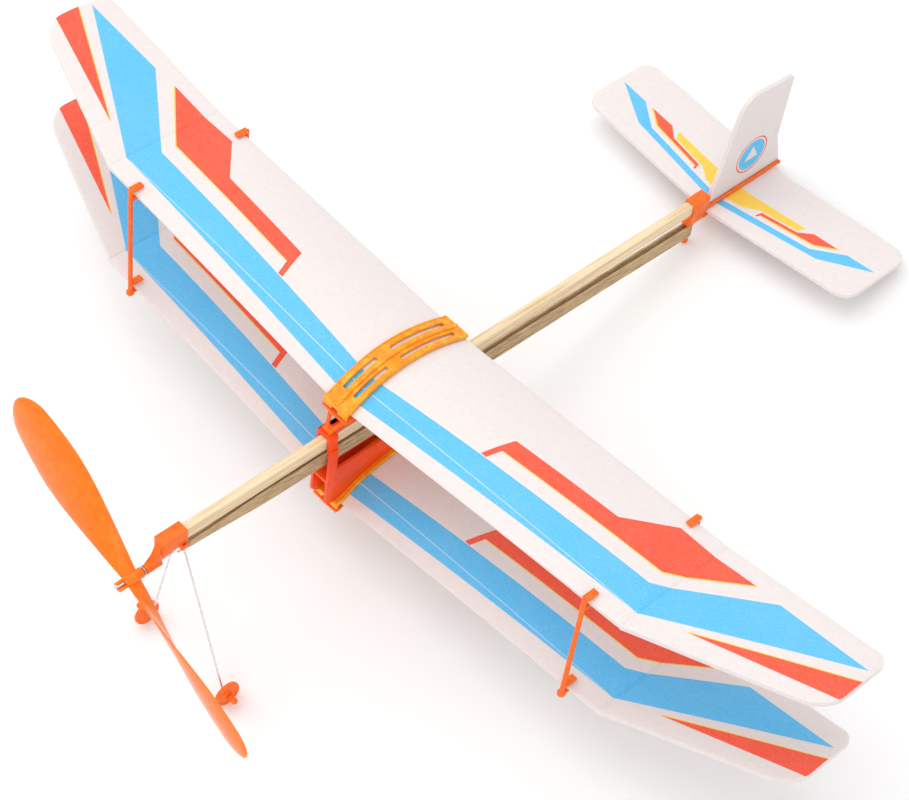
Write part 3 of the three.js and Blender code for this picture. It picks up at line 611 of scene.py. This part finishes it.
scuff_part = sum_of(flow_group, "MULTIPLY", ramp(flow_group, scuffs.outputs["Fac"], 0.45, 0.75), 0.22)
flow_roughness = sum_of(flow_group, "ADD", flow_in.outputs["Gloss"], scuff_part)
flow_group.links.new(flow_roughness, flow_out.inputs["Roughness"])
scuff_height = sum_of(flow_group, "MULTIPLY", scuffs.outputs["Fac"], 0.12)
flow_height = sum_of(flow_group, "ADD", dimples.outputs["Fac"], scuff_height)
flow_group.links.new(flow_height, flow_out.inputs["Height"])


def plastic_material(name, colour, thin, gloss, glow=0.25):
    material, tree, surface = new_material(name)
    flow = node(tree, "ShaderNodeGroup", {"node_tree": flow_group}, Place=airframe_place(tree))
    flow.inputs["Colour"].default_value = colour
    flow.inputs["Thin"].default_value = thin
    flow.inputs["Gloss"].default_value = gloss
    tree.links.new(flow.outputs["Colour"], surface.inputs["Base Color"])
    tree.links.new(flow.outputs["Roughness"], surface.inputs["Roughness"])
    add_relief(tree, surface, flow.outputs["Height"], 0.3, 0.08)
    surface.inputs["Subsurface Weight"].default_value = glow
    surface.inputs["Subsurface Radius"].default_value = (1.0, 0.35, 0.08)
    surface.inputs["Subsurface Scale"].default_value = 0.0015
    surface.inputs["IOR"].default_value = 1.5
    surface.inputs["Specular IOR Level"].default_value = 0.22
    surface.inputs["Coat Weight"].default_value = 0.06
    surface.inputs["Coat Roughness"].default_value = 0.12
    return material


orange = plastic_material("orange_plastic", (1.0, 0.15, 0.010, 1), (1.0, 0.19, 0.015, 1), 0.24, 0.12)
amber = plastic_material("amber_plastic", (1.0, 0.31, 0.012, 1), (1.0, 0.47, 0.035, 1), 0.2, 0.25)
# A darker, redder copy of the same orange plastic: painted shade for the stick clamp, which sits in the
# wings' shade.
painted_shade_orange = plastic_material("orange_plastic_painted_shade", (1.0, 0.07, 0.006, 1), (1.0, 0.10, 0.01, 1), 0.3, 0.1)


def moulded_copy(node_name, piece_name, body, material, rounding=0.18):
    """A moulded fitting: the CAD solid, welded, with every edge rounded."""
    shape = bmesh.new()
    shape.from_mesh(frame["nodes"][node_name].data)
    bmesh.ops.transform(shape, matrix=TO_ROW.inverted(), verts=shape.verts)
    bmesh.ops.remove_doubles(shape, verts=shape.verts, dist=0.002)
    bmesh.ops.dissolve_limit(shape, angle_limit=math.radians(1.5), verts=shape.verts, edges=shape.edges)
    maker = bpy.data.objects.new(node_name, from_bmesh(shape))
    edge = {"width": rounding, "segments": 2, "limit_method": "ANGLE", "angle_limit": math.radians(32)}
    return finish_piece(piece_name, evaluated(maker, [("BEVEL", edge)]), body, [node_name], [material])


def swept(points, radii, sides=16):
    """Round bar through the points, with its own radius at each of them."""
    shape = bmesh.new()
    points = [Vector(p) for p in points]
    radii = radii if isinstance(radii, (list, tuple)) else [radii] * len(points)
    rings = []
    normal = None
    for i, point in enumerate(points):
        ahead = points[min(i + 1, len(points) - 1)] - points[max(i - 1, 0)]
        ahead.normalize()
        if normal is None:
            normal = ahead.orthogonal().normalized()
        normal = (normal - ahead * normal.dot(ahead)).normalized()
        side = ahead.cross(normal)
        ring = []
        for k in range(sides):
            a = 2 * math.pi * k / sides
            ring.append(shape.verts.new(point + radii[i] * (math.cos(a) * normal + math.sin(a) * side)))
        rings.append(ring)
    for low, high in zip(rings, rings[1:]):
        for k in range(sides):
            shape.faces.new((low[k], low[(k + 1) % sides], high[(k + 1) % sides], high[k]))
    shape.faces.new(list(reversed(rings[0])))
    shape.faces.new(rings[-1])
    return from_bmesh(shape)


def combined(meshes):
    shape = bmesh.new()
    for mesh in meshes:
        shape.from_mesh(mesh)
    return from_bmesh(shape)


moulded_copy("nose_block", "moulded_nose_block", "airframe", orange)
moulded_copy("tail_block", "moulded_tail_block", "airframe", orange)
# The stick clamp gets the orange with painted shade.
moulded_copy("stick_clamp", "moulded_stick_clamp", "wing_cell", painted_shade_orange)
moulded_copy("cabane_front", "moulded_cabane_front", "wing_cell", orange, 0.15)
moulded_copy("cabane_rear", "moulded_cabane_rear", "wing_cell", orange, 0.15)
for place in ("front_left", "front_right", "rear_left", "rear_right"):
    moulded_copy(f"strut_{place}", f"moulded_strut_{place}", "wing_cell", orange, 0.15)
for side in ("left", "right"):
    moulded_copy(f"wheel_cap_{side}", f"moulded_wheel_cap_{side}", "airframe", orange, 0.15)
    moulded_copy(f"wheel_{side}", f"moulded_wheel_{side}", f"wheel_{side}", orange, 0.12)
moulded_copy("upper_clip_foot", "moulded_upper_clip_foot", "wing_cell", orange, 0.15)
moulded_copy("lower_clip_foot", "moulded_lower_clip_foot", "wing_cell", orange, 0.15)

# --------------------------------------------------------------- wing clips
# Over each wing lies an amber frame with four long windows and a middle rib,
# bent to the arch of the foam. Its front edge turns down over the leading edge.
CLIP_HALF, CLIP_THICK, CLIP_FRONT, CLIP_OVER, CLIP_GAP = 6.5, 1.3, -2.6, 1.2, 0.3
SLOT_INNER, SLOT_OUTER, SLOT_RUNS = 2.0, 3.8, ((4.5, 20.0), (26.5, 54.0))
CUT_STEP, CUT_COUNT = 1.5, 41
RIB_RADIUS, EDGE_RIB_RADIUS = 0.75, 0.38
LIP_INNER, LIP_DEPTH, LIP_THICK = 1.6, 1.1, 1.8


def clip_height(wing, x, y):
    return wing_surface(wing, x, min(max(y, leading_edge(x)), CHORD)).z


def rounded_window(low, high, radius, steps=5):
    """A rounded rectangle between two corners, as a ring of points."""
    ring = []
    for cx, cy, start in ((high[0] - radius, high[1] - radius, 0), (low[0] + radius, high[1] - radius, 90),
                          (low[0] + radius, low[1] + radius, 180), (high[0] - radius, low[1] + radius, 270)):
        for i in range(steps + 1):
            a = math.radians(start + 90 * i / steps)
            ring.append((cx + radius * math.cos(a), cy + radius * math.sin(a)))
    return ring


def moulded_plate(rings, thickness, rounding, cuts, surface):
    """A flat plate with windows and rounded edges, cut across and bent onto a surface."""
    outline = bpy.data.curves.new("plate", "CURVE")
    outline.dimensions = "2D"
    outline.fill_mode = "BOTH"
    outline.extrude = thickness / 2 - rounding
    outline.bevel_depth = rounding
    outline.bevel_resolution = 1
    outline.offset = -rounding
    for ring in rings:
        spline = outline.splines.new("POLY")
        spline.points.add(len(ring) - 1)
        spline.use_cyclic_u = True
        for point, (x, y) in zip(spline.points, ring):
            point.co = (x, y, 0, 1)
    flat = evaluated(bpy.data.objects.new("plate", outline))
    shape = bmesh.new()
    shape.from_mesh(flat)
    bmesh.ops.remove_doubles(shape, verts=shape.verts, dist=0.003)
    for y in cuts:
        bmesh.ops.bisect_plane(shape, geom=shape.verts[:] + shape.edges[:] + shape.faces[:], dist=1e-4,
                               plane_co=(0, y, 0), plane_no=(0, 1, 0))
    bmesh.ops.recalc_face_normals(shape, faces=shape.faces)
    for vert in shape.verts:
        vert.co = surface(*vert.co)
    return from_bmesh(shape)


CLIP_REAR = CHORD + CLIP_OVER
clip_rings = [rounded_window((-CLIP_HALF, CLIP_FRONT), (CLIP_HALF, CLIP_REAR), 0.9)]
for side in (-1, 1):
    low_x, high_x = sorted((side * SLOT_INNER, side * SLOT_OUTER))
    for start, end in SLOT_RUNS:
        clip_rings.append(rounded_window((low_x, start), (high_x, end), 0.6))
clip_cuts = [CLIP_FRONT + 0.2 + CUT_STEP * i for i in range(CUT_COUNT)]
for name, wing in (("upper", UPPER), ("lower", LOWER)):
    def over_foam(x, y, z, wing=wing):
        return Vector((x, y, clip_height(wing, x, y) + CLIP_GAP + CLIP_THICK / 2 + z))

    frame_plate = moulded_plate(clip_rings, CLIP_THICK, 0.25, clip_cuts, over_foam)
    stations = [CLIP_FRONT + 0.5 + (CLIP_REAR - CLIP_FRONT - 1.0) * i / 40 for i in range(CUT_COUNT)]
    rib_line = [(0, y, clip_height(wing, 0, y) + CLIP_GAP + CLIP_THICK + 0.35) for y in stations]
    rib = swept(rib_line, [RIB_RADIUS] * CUT_COUNT, 14)
    edge_ribs = []
    for side in (-1, 1):
        line = [(side * (CLIP_HALF - 0.45), y,
                 clip_height(wing, side * CLIP_HALF, y) + CLIP_GAP + CLIP_THICK - 0.1) for y in stations]
        edge_ribs.append(swept(line, [EDGE_RIB_RADIUS] * CUT_COUNT, 10))
    lip_top = clip_height(wing, 0, 0) + CLIP_GAP + 0.6

    def at_leading_edge(x, y, z, top=lip_top):
        return Vector((x, CLIP_FRONT + 0.1 + y, top - 0.9 + z))

    lips = []
    for start, end in ((-CLIP_HALF, -LIP_INNER), (LIP_INNER, CLIP_HALF)):
        lip_ring = rounded_window((start, 0), (end, LIP_DEPTH), 0.3, 3)
        lips.append(moulded_plate([lip_ring], LIP_THICK, 0.2, [], at_leading_edge))
    mesh = combined([frame_plate, rib] + edge_ribs + lips)
    finish_piece(f"amber_{name}_clip", mesh, "wing_cell", [f"{name}_wing_clip"], [amber])

# ---------------------------------------------------------------- propeller
# One moulding of glossy orange plastic: a hub with a driving tooth and two
# blades that lie on a helix, steep at the hub and nearly flat at the tip.
PROP_RADIUS, PROP_HELIX, PROP_REST, PROP_STATION = 74.5, 11.3, math.radians(-30.2), -95.0
BLADE_WIDEST, BLADE_ROUND, BLADE_ROOT, BLADE_SPREAD = 49.5, 65.0, 5.6, 20.4
HUB_REAR, HUB_FRONT, HUB_RADIUS, HUB_CROWN = -90.4, -98.2, 2.1, 3.0
COLLAR_FOOT, COLLAR_HALF, COLLAR_RISE, TOOTH_INNER = 1.6, 1.3, 0.2, 0.85


def blade_chord(r):
    share = (r / BLADE_WIDEST) ** 1.5
    eased = share if share < 1 else 1 + 0.7 * (share - 1)
    full = BLADE_ROOT + BLADE_SPREAD * math.sin(math.pi / 2 * eased)
    past = max(0.0, (r - BLADE_ROUND) / (PROP_RADIUS - BLADE_ROUND))
    return max(0.5, full * math.sqrt(max(0.0, 1 - past ** 2.2)))


def blade_mesh(turn):
    radial = Vector((math.cos(turn), 0, math.sin(turn)))
    across = Vector((-math.sin(turn), 0, math.cos(turn)))
    forward = Vector((0, -1, 0))
    hub = Vector((0, PROP_STATION, SHAFT_HEIGHT))
    stations = [1.5 + 1.5 * i for i in range(43)]
    round_length = PROP_RADIUS - 0.02 - BLADE_ROUND
    stations += [BLADE_ROUND + round_length * math.sin(math.radians(a)) for a in range(4, 91, 5)]
    steps = 22
    shape = bmesh.new()
    faces_of = []
    for r in stations:
        pitch = math.atan2(PROP_HELIX, r)
        chord = blade_chord(r)
        thick = 0.62 - 0.22 * r / PROP_RADIUS
        loop = []
        for side in (1, -1):
            for k in range(steps + 1):
                if side < 0 and k in (0, steps):
                    continue
                share = (k / steps - 0.5) if side > 0 else (0.5 - k / steps)
                round_share = 0.5 * math.sin(math.pi * share)
                width = round_share * chord
                bow = chord * 0.07 * (1 - 4 * round_share ** 2)
                offset = bow + side * thick * math.sqrt(max(0.0, 1 - 4 * round_share ** 2)) ** 0.7
                point = hub + radial * r
                point += across * (width * math.cos(pitch) - offset * math.sin(pitch))
                point += forward * (width * math.sin(pitch) + offset * math.cos(pitch))
                loop.append(shape.verts.new(point))
        faces_of.append(loop)
    for low, high in zip(faces_of, faces_of[1:]):
        for k in range(len(low)):
            after = (k + 1) % len(low)
            shape.faces.new((low[k], high[k], high[after], low[after]))
    shape.faces.new(faces_of[0])
    shape.faces.new(list(reversed(faces_of[-1])))
    bmesh.ops.recalc_face_normals(shape, faces=shape.faces)
    return from_bmesh(shape)


def turned_part(profile, sides=32):
    """A ring turned about the shaft: (station, radius) pairs around a closed section."""
    shape = bmesh.new()
    rings = []
    angles = [2 * math.pi * k / sides for k in range(sides)]
    for y, r in profile:
        rings.append([shape.verts.new((r * math.cos(a), y, SHAFT_HEIGHT + r * math.sin(a))) for a in angles])
    for low, high in zip(rings, rings[1:] + rings[:1]):
        for k in range(sides):
            shape.faces.new((low[k], low[(k + 1) % sides], high[(k + 1) % sides], high[k]))
    bmesh.ops.recalc_face_normals(shape, faces=shape.faces)
    return from_bmesh(shape)


hub_ring = turned_part([(HUB_REAR, 0.8), (HUB_REAR, HUB_RADIUS - 0.3), (HUB_REAR - 0.3, HUB_RADIUS),
                        (PROP_STATION + COLLAR_FOOT, HUB_RADIUS),
                        (PROP_STATION + COLLAR_HALF, HUB_RADIUS + COLLAR_RISE),
                        (PROP_STATION - COLLAR_HALF, HUB_RADIUS + COLLAR_RISE),
                        (PROP_STATION - COLLAR_FOOT, HUB_RADIUS),
                        (HUB_FRONT + 0.3, HUB_RADIUS), (HUB_FRONT, HUB_RADIUS - 0.3), (HUB_FRONT, 0.8)])
tooth_ring = [(HUB_RADIUS * math.cos(math.radians(a)), HUB_RADIUS * math.sin(math.radians(a)))
              for a in range(180, 361, 12)]
tooth_ring += [(TOOTH_INNER * math.cos(math.radians(a)), TOOTH_INNER * math.sin(math.radians(a)))
               for a in range(360, 179, -30)]
tooth = moulded_plate([tooth_ring], HUB_CROWN + 0.4, 0.2, [],
                      lambda x, y, z: Vector((x, HUB_FRONT - HUB_CROWN / 2 + 0.2 - z, SHAFT_HEIGHT + y)))
propeller_mesh = combined([blade_mesh(PROP_REST), blade_mesh(PROP_REST + math.pi), hub_ring, tooth])
propeller_orange = plastic_material("propeller_orange", (1.0, 0.195, 0.010, 1), (1.0, 0.235, 0.015, 1),
                                    0.14, 0.15)
finish_piece("moulded_propeller", propeller_mesh, "propeller", ["propeller"], [propeller_orange],
             crisp=45)

# -------------------------------------------------- shaft, washer and wires
# Bright drawn steel wire, bent by hand: the shaft with its driving crank and its
# hook, and two long undercarriage legs. A pressed washer takes the thrust.
steel, tree, surface = new_material("drawn_steel_wire")
drawn = node(tree, "ShaderNodeTexNoise", None, Vector=airframe_place(tree), Scale=1.4, Detail=4.0)
tarnish = ramp(tree, drawn.outputs["Fac"], 0.45, 0.75)
BRIGHT_STEEL, DULL_STEEL = (0.78, 0.78, 0.79, 1), (0.55, 0.53, 0.50, 1)
tree.links.new(blend_colour(tree, tarnish, BRIGHT_STEEL, DULL_STEEL), surface.inputs["Base Color"])
steel_roughness = sum_of(tree, "MULTIPLY", drawn.outputs["Fac"], 0.25)
tree.links.new(sum_of(tree, "ADD", 0.22, steel_roughness), surface.inputs["Roughness"])
surface.inputs["Metallic"].default_value = 1.0
add_relief(tree, surface, drawn.outputs["Fac"], 0.25, 0.02)

SHAFT_RADIUS, SHAFT_FRONT, SHAFT_CRANK = 0.5, -102.0, 1.5
HOOK_REAR, HOOK_NECK, HOOK_RISE = -69.8, -77.0, 1.8
LEG_RADIUS, LEG_TOP, LEG_STATION = 0.4, 2.4, -73.6
WASHER_REAR, WASHER_FRONT, WASHER_RADIUS = -89.6, -90.1, 1.8
NOSE_HALF_HEIGHT = 3.5
WHEEL_X, WHEEL_Y, WHEEL_Z, WHEEL_WIDTH = 23.9, -68.5, -78.5, 2.0


def smooth_wire(points, radius, steps=10, sides=14):
    """Bent wire through the points with rounded bends."""
    points = [Vector(p) for p in points]
    path = []
    for i in range(len(points) - 1):
        before = points[i - 1] if i else points[0] * 2 - points[1]
        after = points[i + 2] if i + 2 < len(points) else points[-1] * 2 - points[-2]
        start, end = points[i], points[i + 1]
        pull = 0.3
        for k in range(steps):
            t = k / steps
            h = (2 * t ** 3 - 3 * t ** 2 + 1, t ** 3 - 2 * t ** 2 + t,
                 -2 * t ** 3 + 3 * t ** 2, t ** 3 - t ** 2)
            path.append(h[0] * start + h[1] * pull * (end - before)
                        + h[2] * end + h[3] * pull * (after - start))
    path.append(points[-1])
    return swept(path, radius, sides)


z = SHAFT_HEIGHT
hook_points = [(0, HOOK_NECK, z), (0, HOOK_NECK + 1.4, z + 0.8), (0, HOOK_NECK + 2.6, z + HOOK_RISE),
               (0, HOOK_REAR - 1.1, z + HOOK_RISE), (0, HOOK_REAR, z + HOOK_RISE - 1),
               (0, HOOK_REAR, z - HOOK_RISE + 1), (0, HOOK_REAR - 1.1, z - HOOK_RISE),
               (0, HOOK_NECK + 2.4, z - HOOK_RISE)]
shaft_points = [(0, SHAFT_FRONT, z + SHAFT_CRANK), (0, SHAFT_FRONT, z + 0.6), (0, SHAFT_FRONT + 0.6, z),
                (0, -93, z), (0, -84, z)]
shaft_mesh = smooth_wire(shaft_points + hook_points, SHAFT_RADIUS, 8)
finish_piece("wire_shaft", shaft_mesh, "shaft", ["prop_shaft"], [steel])
washer_mesh = turned_part([(WASHER_REAR, 0.8), (WASHER_REAR, WASHER_RADIUS - 0.2),
                           (WASHER_REAR - 0.1, WASHER_RADIUS), (WASHER_FRONT + 0.1, WASHER_RADIUS),
                           (WASHER_FRONT, WASHER_RADIUS - 0.2), (WASHER_FRONT, 0.8)], 28)
finish_piece("thrust_washer_disc", washer_mesh, "shaft", ["thrust_washer"], [steel])

for word, side in (("left", -1), ("right", 1)):
    inner = WHEEL_X - WHEEL_WIDTH / 2 - 1.6
    leg_points = [(side * LEG_TOP, LEG_STATION, -NOSE_HALF_HEIGHT),
                  (side * LEG_TOP, LEG_STATION, -NOSE_HALF_HEIGHT - 2.4),
                  (side * (LEG_TOP + 0.75), LEG_STATION + 0.2, -NOSE_HALF_HEIGHT - 5),
                  (side * (inner - 1), WHEEL_Y - 0.3, WHEEL_Z + 3.6),
                  (side * (inner + 0.2), WHEEL_Y, WHEEL_Z + 0.5),
                  (side * (inner + 1.2), WHEEL_Y, WHEEL_Z), (side * (WHEEL_X + 4.8), WHEEL_Y, WHEEL_Z)]
    leg_mesh = smooth_wire(leg_points, LEG_RADIUS, 10, 12)
    finish_piece(f"wire_gear_leg_{word}", leg_mesh, "airframe", [f"gear_leg_{word}"], [steel])

# ------------------------------------------------------------- rubber motor
# A loop of flat tan rubber folded into several strands, slack enough to part a
# little between the shaft's hook and the finger under the tail.
BAND_REAR_HEIGHT = -13.0
STRAND_WIDTH, STRAND_THICK = 1.1, 0.9
STRAND_LEVELS = (-2.75, -1.4, -0.05, 1.3, 2.65)
FRONT_HALF, REAR_HALF = 1.0, 1.42
BAND_FRONT_END, BAND_REAR_END = HOOK_REAR, 194.8
GATHERED_SHARE = 0.25

strand_tree = bpy.data.node_groups.new("rubber_strands", "GeometryNodeTree")
for label, kind, start in (("Front", "NodeSocketVector", (0, 0, 0)), ("Rear", "NodeSocketVector", (0, 1, 0)),
                           ("Spread", "NodeSocketVector", (0, 0, 1)), ("Waviness", "NodeSocketFloat", 0.2),
                           ("Seed", "NodeSocketFloat", 0.0), ("Width", "NodeSocketFloat", 1.0),
                           ("Thickness", "NodeSocketFloat", 1.0), ("Rubber", "NodeSocketMaterial", None)):
    socket = strand_tree.interface.new_socket(label, in_out="INPUT", socket_type=kind)
    if start is not None:
        socket.default_value = start
strand_tree.interface.new_socket("Geometry", in_out="OUTPUT", socket_type="NodeSocketGeometry")
gin, gout = strand_tree.nodes.new("NodeGroupInput"), strand_tree.nodes.new("NodeGroupOutput")
run = node(strand_tree, "GeometryNodeCurvePrimitiveLine", None, Start=gin.outputs["Front"],
           End=gin.outputs["Rear"])
run_points = node(strand_tree, "GeometryNodeResampleCurve", None, Curve=run.outputs["Curve"], Count=120)
share_along = node(strand_tree, "GeometryNodeSplineParameter")
along_noise = sum_of(strand_tree, "MULTIPLY", share_along.outputs["Factor"], 9.0)
where = node(strand_tree, "ShaderNodeCombineXYZ", None, X=along_noise, Y=gin.outputs["Seed"])
wander = node(strand_tree, "ShaderNodeTexNoise", None, Vector=where.outputs[0], Scale=1.0, Detail=1.0)
centred = node(strand_tree, "ShaderNodeVectorMath", {"operation": "SUBTRACT"}, i0=wander.outputs["Color"],
               i1=(0.5, 0.5, 0.5))
share_left = sum_of(strand_tree, "SUBTRACT", 1.0, share_along.outputs["Factor"])
ends = sum_of(strand_tree, "MULTIPLY", share_along.outputs["Factor"], share_left)
loose = sum_of(strand_tree, "MULTIPLY", sum_of(strand_tree, "MULTIPLY", ends, 4.0), gin.outputs["Waviness"])
shift = node(strand_tree, "ShaderNodeVectorMath", {"operation": "SCALE"}, i0=centred.outputs[0], Scale=loose)
opening = ramp(strand_tree, share_along.outputs["Factor"], 0.0, 0.15)
spread = node(strand_tree, "ShaderNodeVectorMath", {"operation": "SCALE"}, i0=gin.outputs["Spread"],
              Scale=opening)
moved = node(strand_tree, "ShaderNodeVectorMath", {"operation": "ADD"}, i0=shift.outputs[0],
             i1=spread.outputs[0])
set_place = node(strand_tree, "GeometryNodeSetPosition", None, Geometry=run_points.outputs["Curve"],
                 Offset=moved.outputs[0])
section = node(strand_tree, "GeometryNodeCurvePrimitiveQuadrilateral", None, Width=gin.outputs["Width"],
               Height=gin.outputs["Thickness"])
rounded_section = node(strand_tree, "GeometryNodeFilletCurve", None, Curve=section.outputs["Curve"],
                       Radius=0.18)
tube = node(strand_tree, "GeometryNodeCurveToMesh", None, Curve=set_place.outputs["Geometry"],
            Profile_Curve=rounded_section.outputs["Curve"])
tube.inputs["Fill Caps"].default_value = True
real = node(strand_tree, "GeometryNodeRealizeInstances", None, Geometry=tube.outputs["Mesh"])
inked = node(strand_tree, "GeometryNodeSetMaterial", None, Geometry=real.outputs["Geometry"],
             Material=gin.outputs["Rubber"])
strand_tree.links.new(inked.outputs["Geometry"], gout.inputs["Geometry"])

rubber, tree, surface = new_material("tan_rubber")
stretched = node(tree, "ShaderNodeMapping", None, Vector=airframe_place(tree))
stretched.inputs["Scale"].default_value = (1.0, 0.05, 1.0)
streaks = node(tree, "ShaderNodeTexNoise", None, Vector=stretched.outputs[0], Scale=3.0, Detail=3.0)
chalk = node(tree, "ShaderNodeTexNoise", None, Vector=airframe_place(tree), Scale=1.1, Detail=4.0)
DARK_RUBBER, TAN_RUBBER, CHALKY_RUBBER = (0.42, 0.27, 0.13, 1), (0.66, 0.48, 0.27, 1), (0.82, 0.68, 0.48, 1)
tone = blend_colour(tree, ramp(tree, streaks.outputs["Fac"], 0.35, 0.65), DARK_RUBBER, TAN_RUBBER)
chalk_share = sum_of(tree, "MULTIPLY", ramp(tree, chalk.outputs["Fac"], 0.5, 0.8), 0.35)
tone = blend_colour(tree, chalk_share, tone, CHALKY_RUBBER)
tree.links.new(tone, surface.inputs["Base Color"])
chalk_roughness = sum_of(tree, "MULTIPLY", chalk.outputs["Fac"], 0.3)
tree.links.new(sum_of(tree, "ADD", 0.45, chalk_roughness), surface.inputs["Roughness"])
add_relief(tree, surface, streaks.outputs["Fac"], 0.4, 0.05)

strands = []
for index, (side, rise) in enumerate([(side, level) for side in (-1, 1) for level in STRAND_LEVELS]):
    maker_mesh = bpy.data.meshes.new("strand")
    maker = bpy.data.objects.new("strand", maker_mesh)
    modifier = maker.modifiers.new("strands", "NODES")
    modifier.node_group = strand_tree
    gathered = GATHERED_SHARE * rise
    values = {"Front": (side * FRONT_HALF, BAND_FRONT_END, SHAFT_HEIGHT + gathered),
              "Rear": (side * REAR_HALF, BAND_REAR_END, BAND_REAR_HEIGHT + gathered),
              "Spread": (0, 0, rise - gathered), "Waviness": 0.8, "Seed": 3.7 * index,
              "Width": STRAND_THICK, "Thickness": STRAND_WIDTH, "Rubber": rubber}
    for item in strand_tree.interface.items_tree:
        if item.in_out == "INPUT" and item.name in values:
            modifier[item.identifier] = values[item.name]
    strands.append(evaluated(maker))


def end_loop(y, z, turn_sign, radius):
    """The strands' bight round the hook or the finger, as a half ring of flat rubber."""
    points = []
    for a in range(-95, 96, 10):
        turned = math.radians(a)
        points.append((radius * math.sin(turned), y + turn_sign * radius * math.cos(turned), z))
    return points


loops = []
for level in STRAND_LEVELS:
    front_loop = end_loop(BAND_FRONT_END, SHAFT_HEIGHT + GATHERED_SHARE * level, -1, FRONT_HALF)
    rear_loop = end_loop(BAND_REAR_END, BAND_REAR_HEIGHT + level, 1, REAR_HALF)
    loops += [swept(front_loop, 0.45, 10), swept(rear_loop, 0.5, 10)]
band_mesh = combined(strands + loops)
band = finish_piece("rubber_motor", band_mesh, None, ["rubber_band"], [rubber])
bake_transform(band)
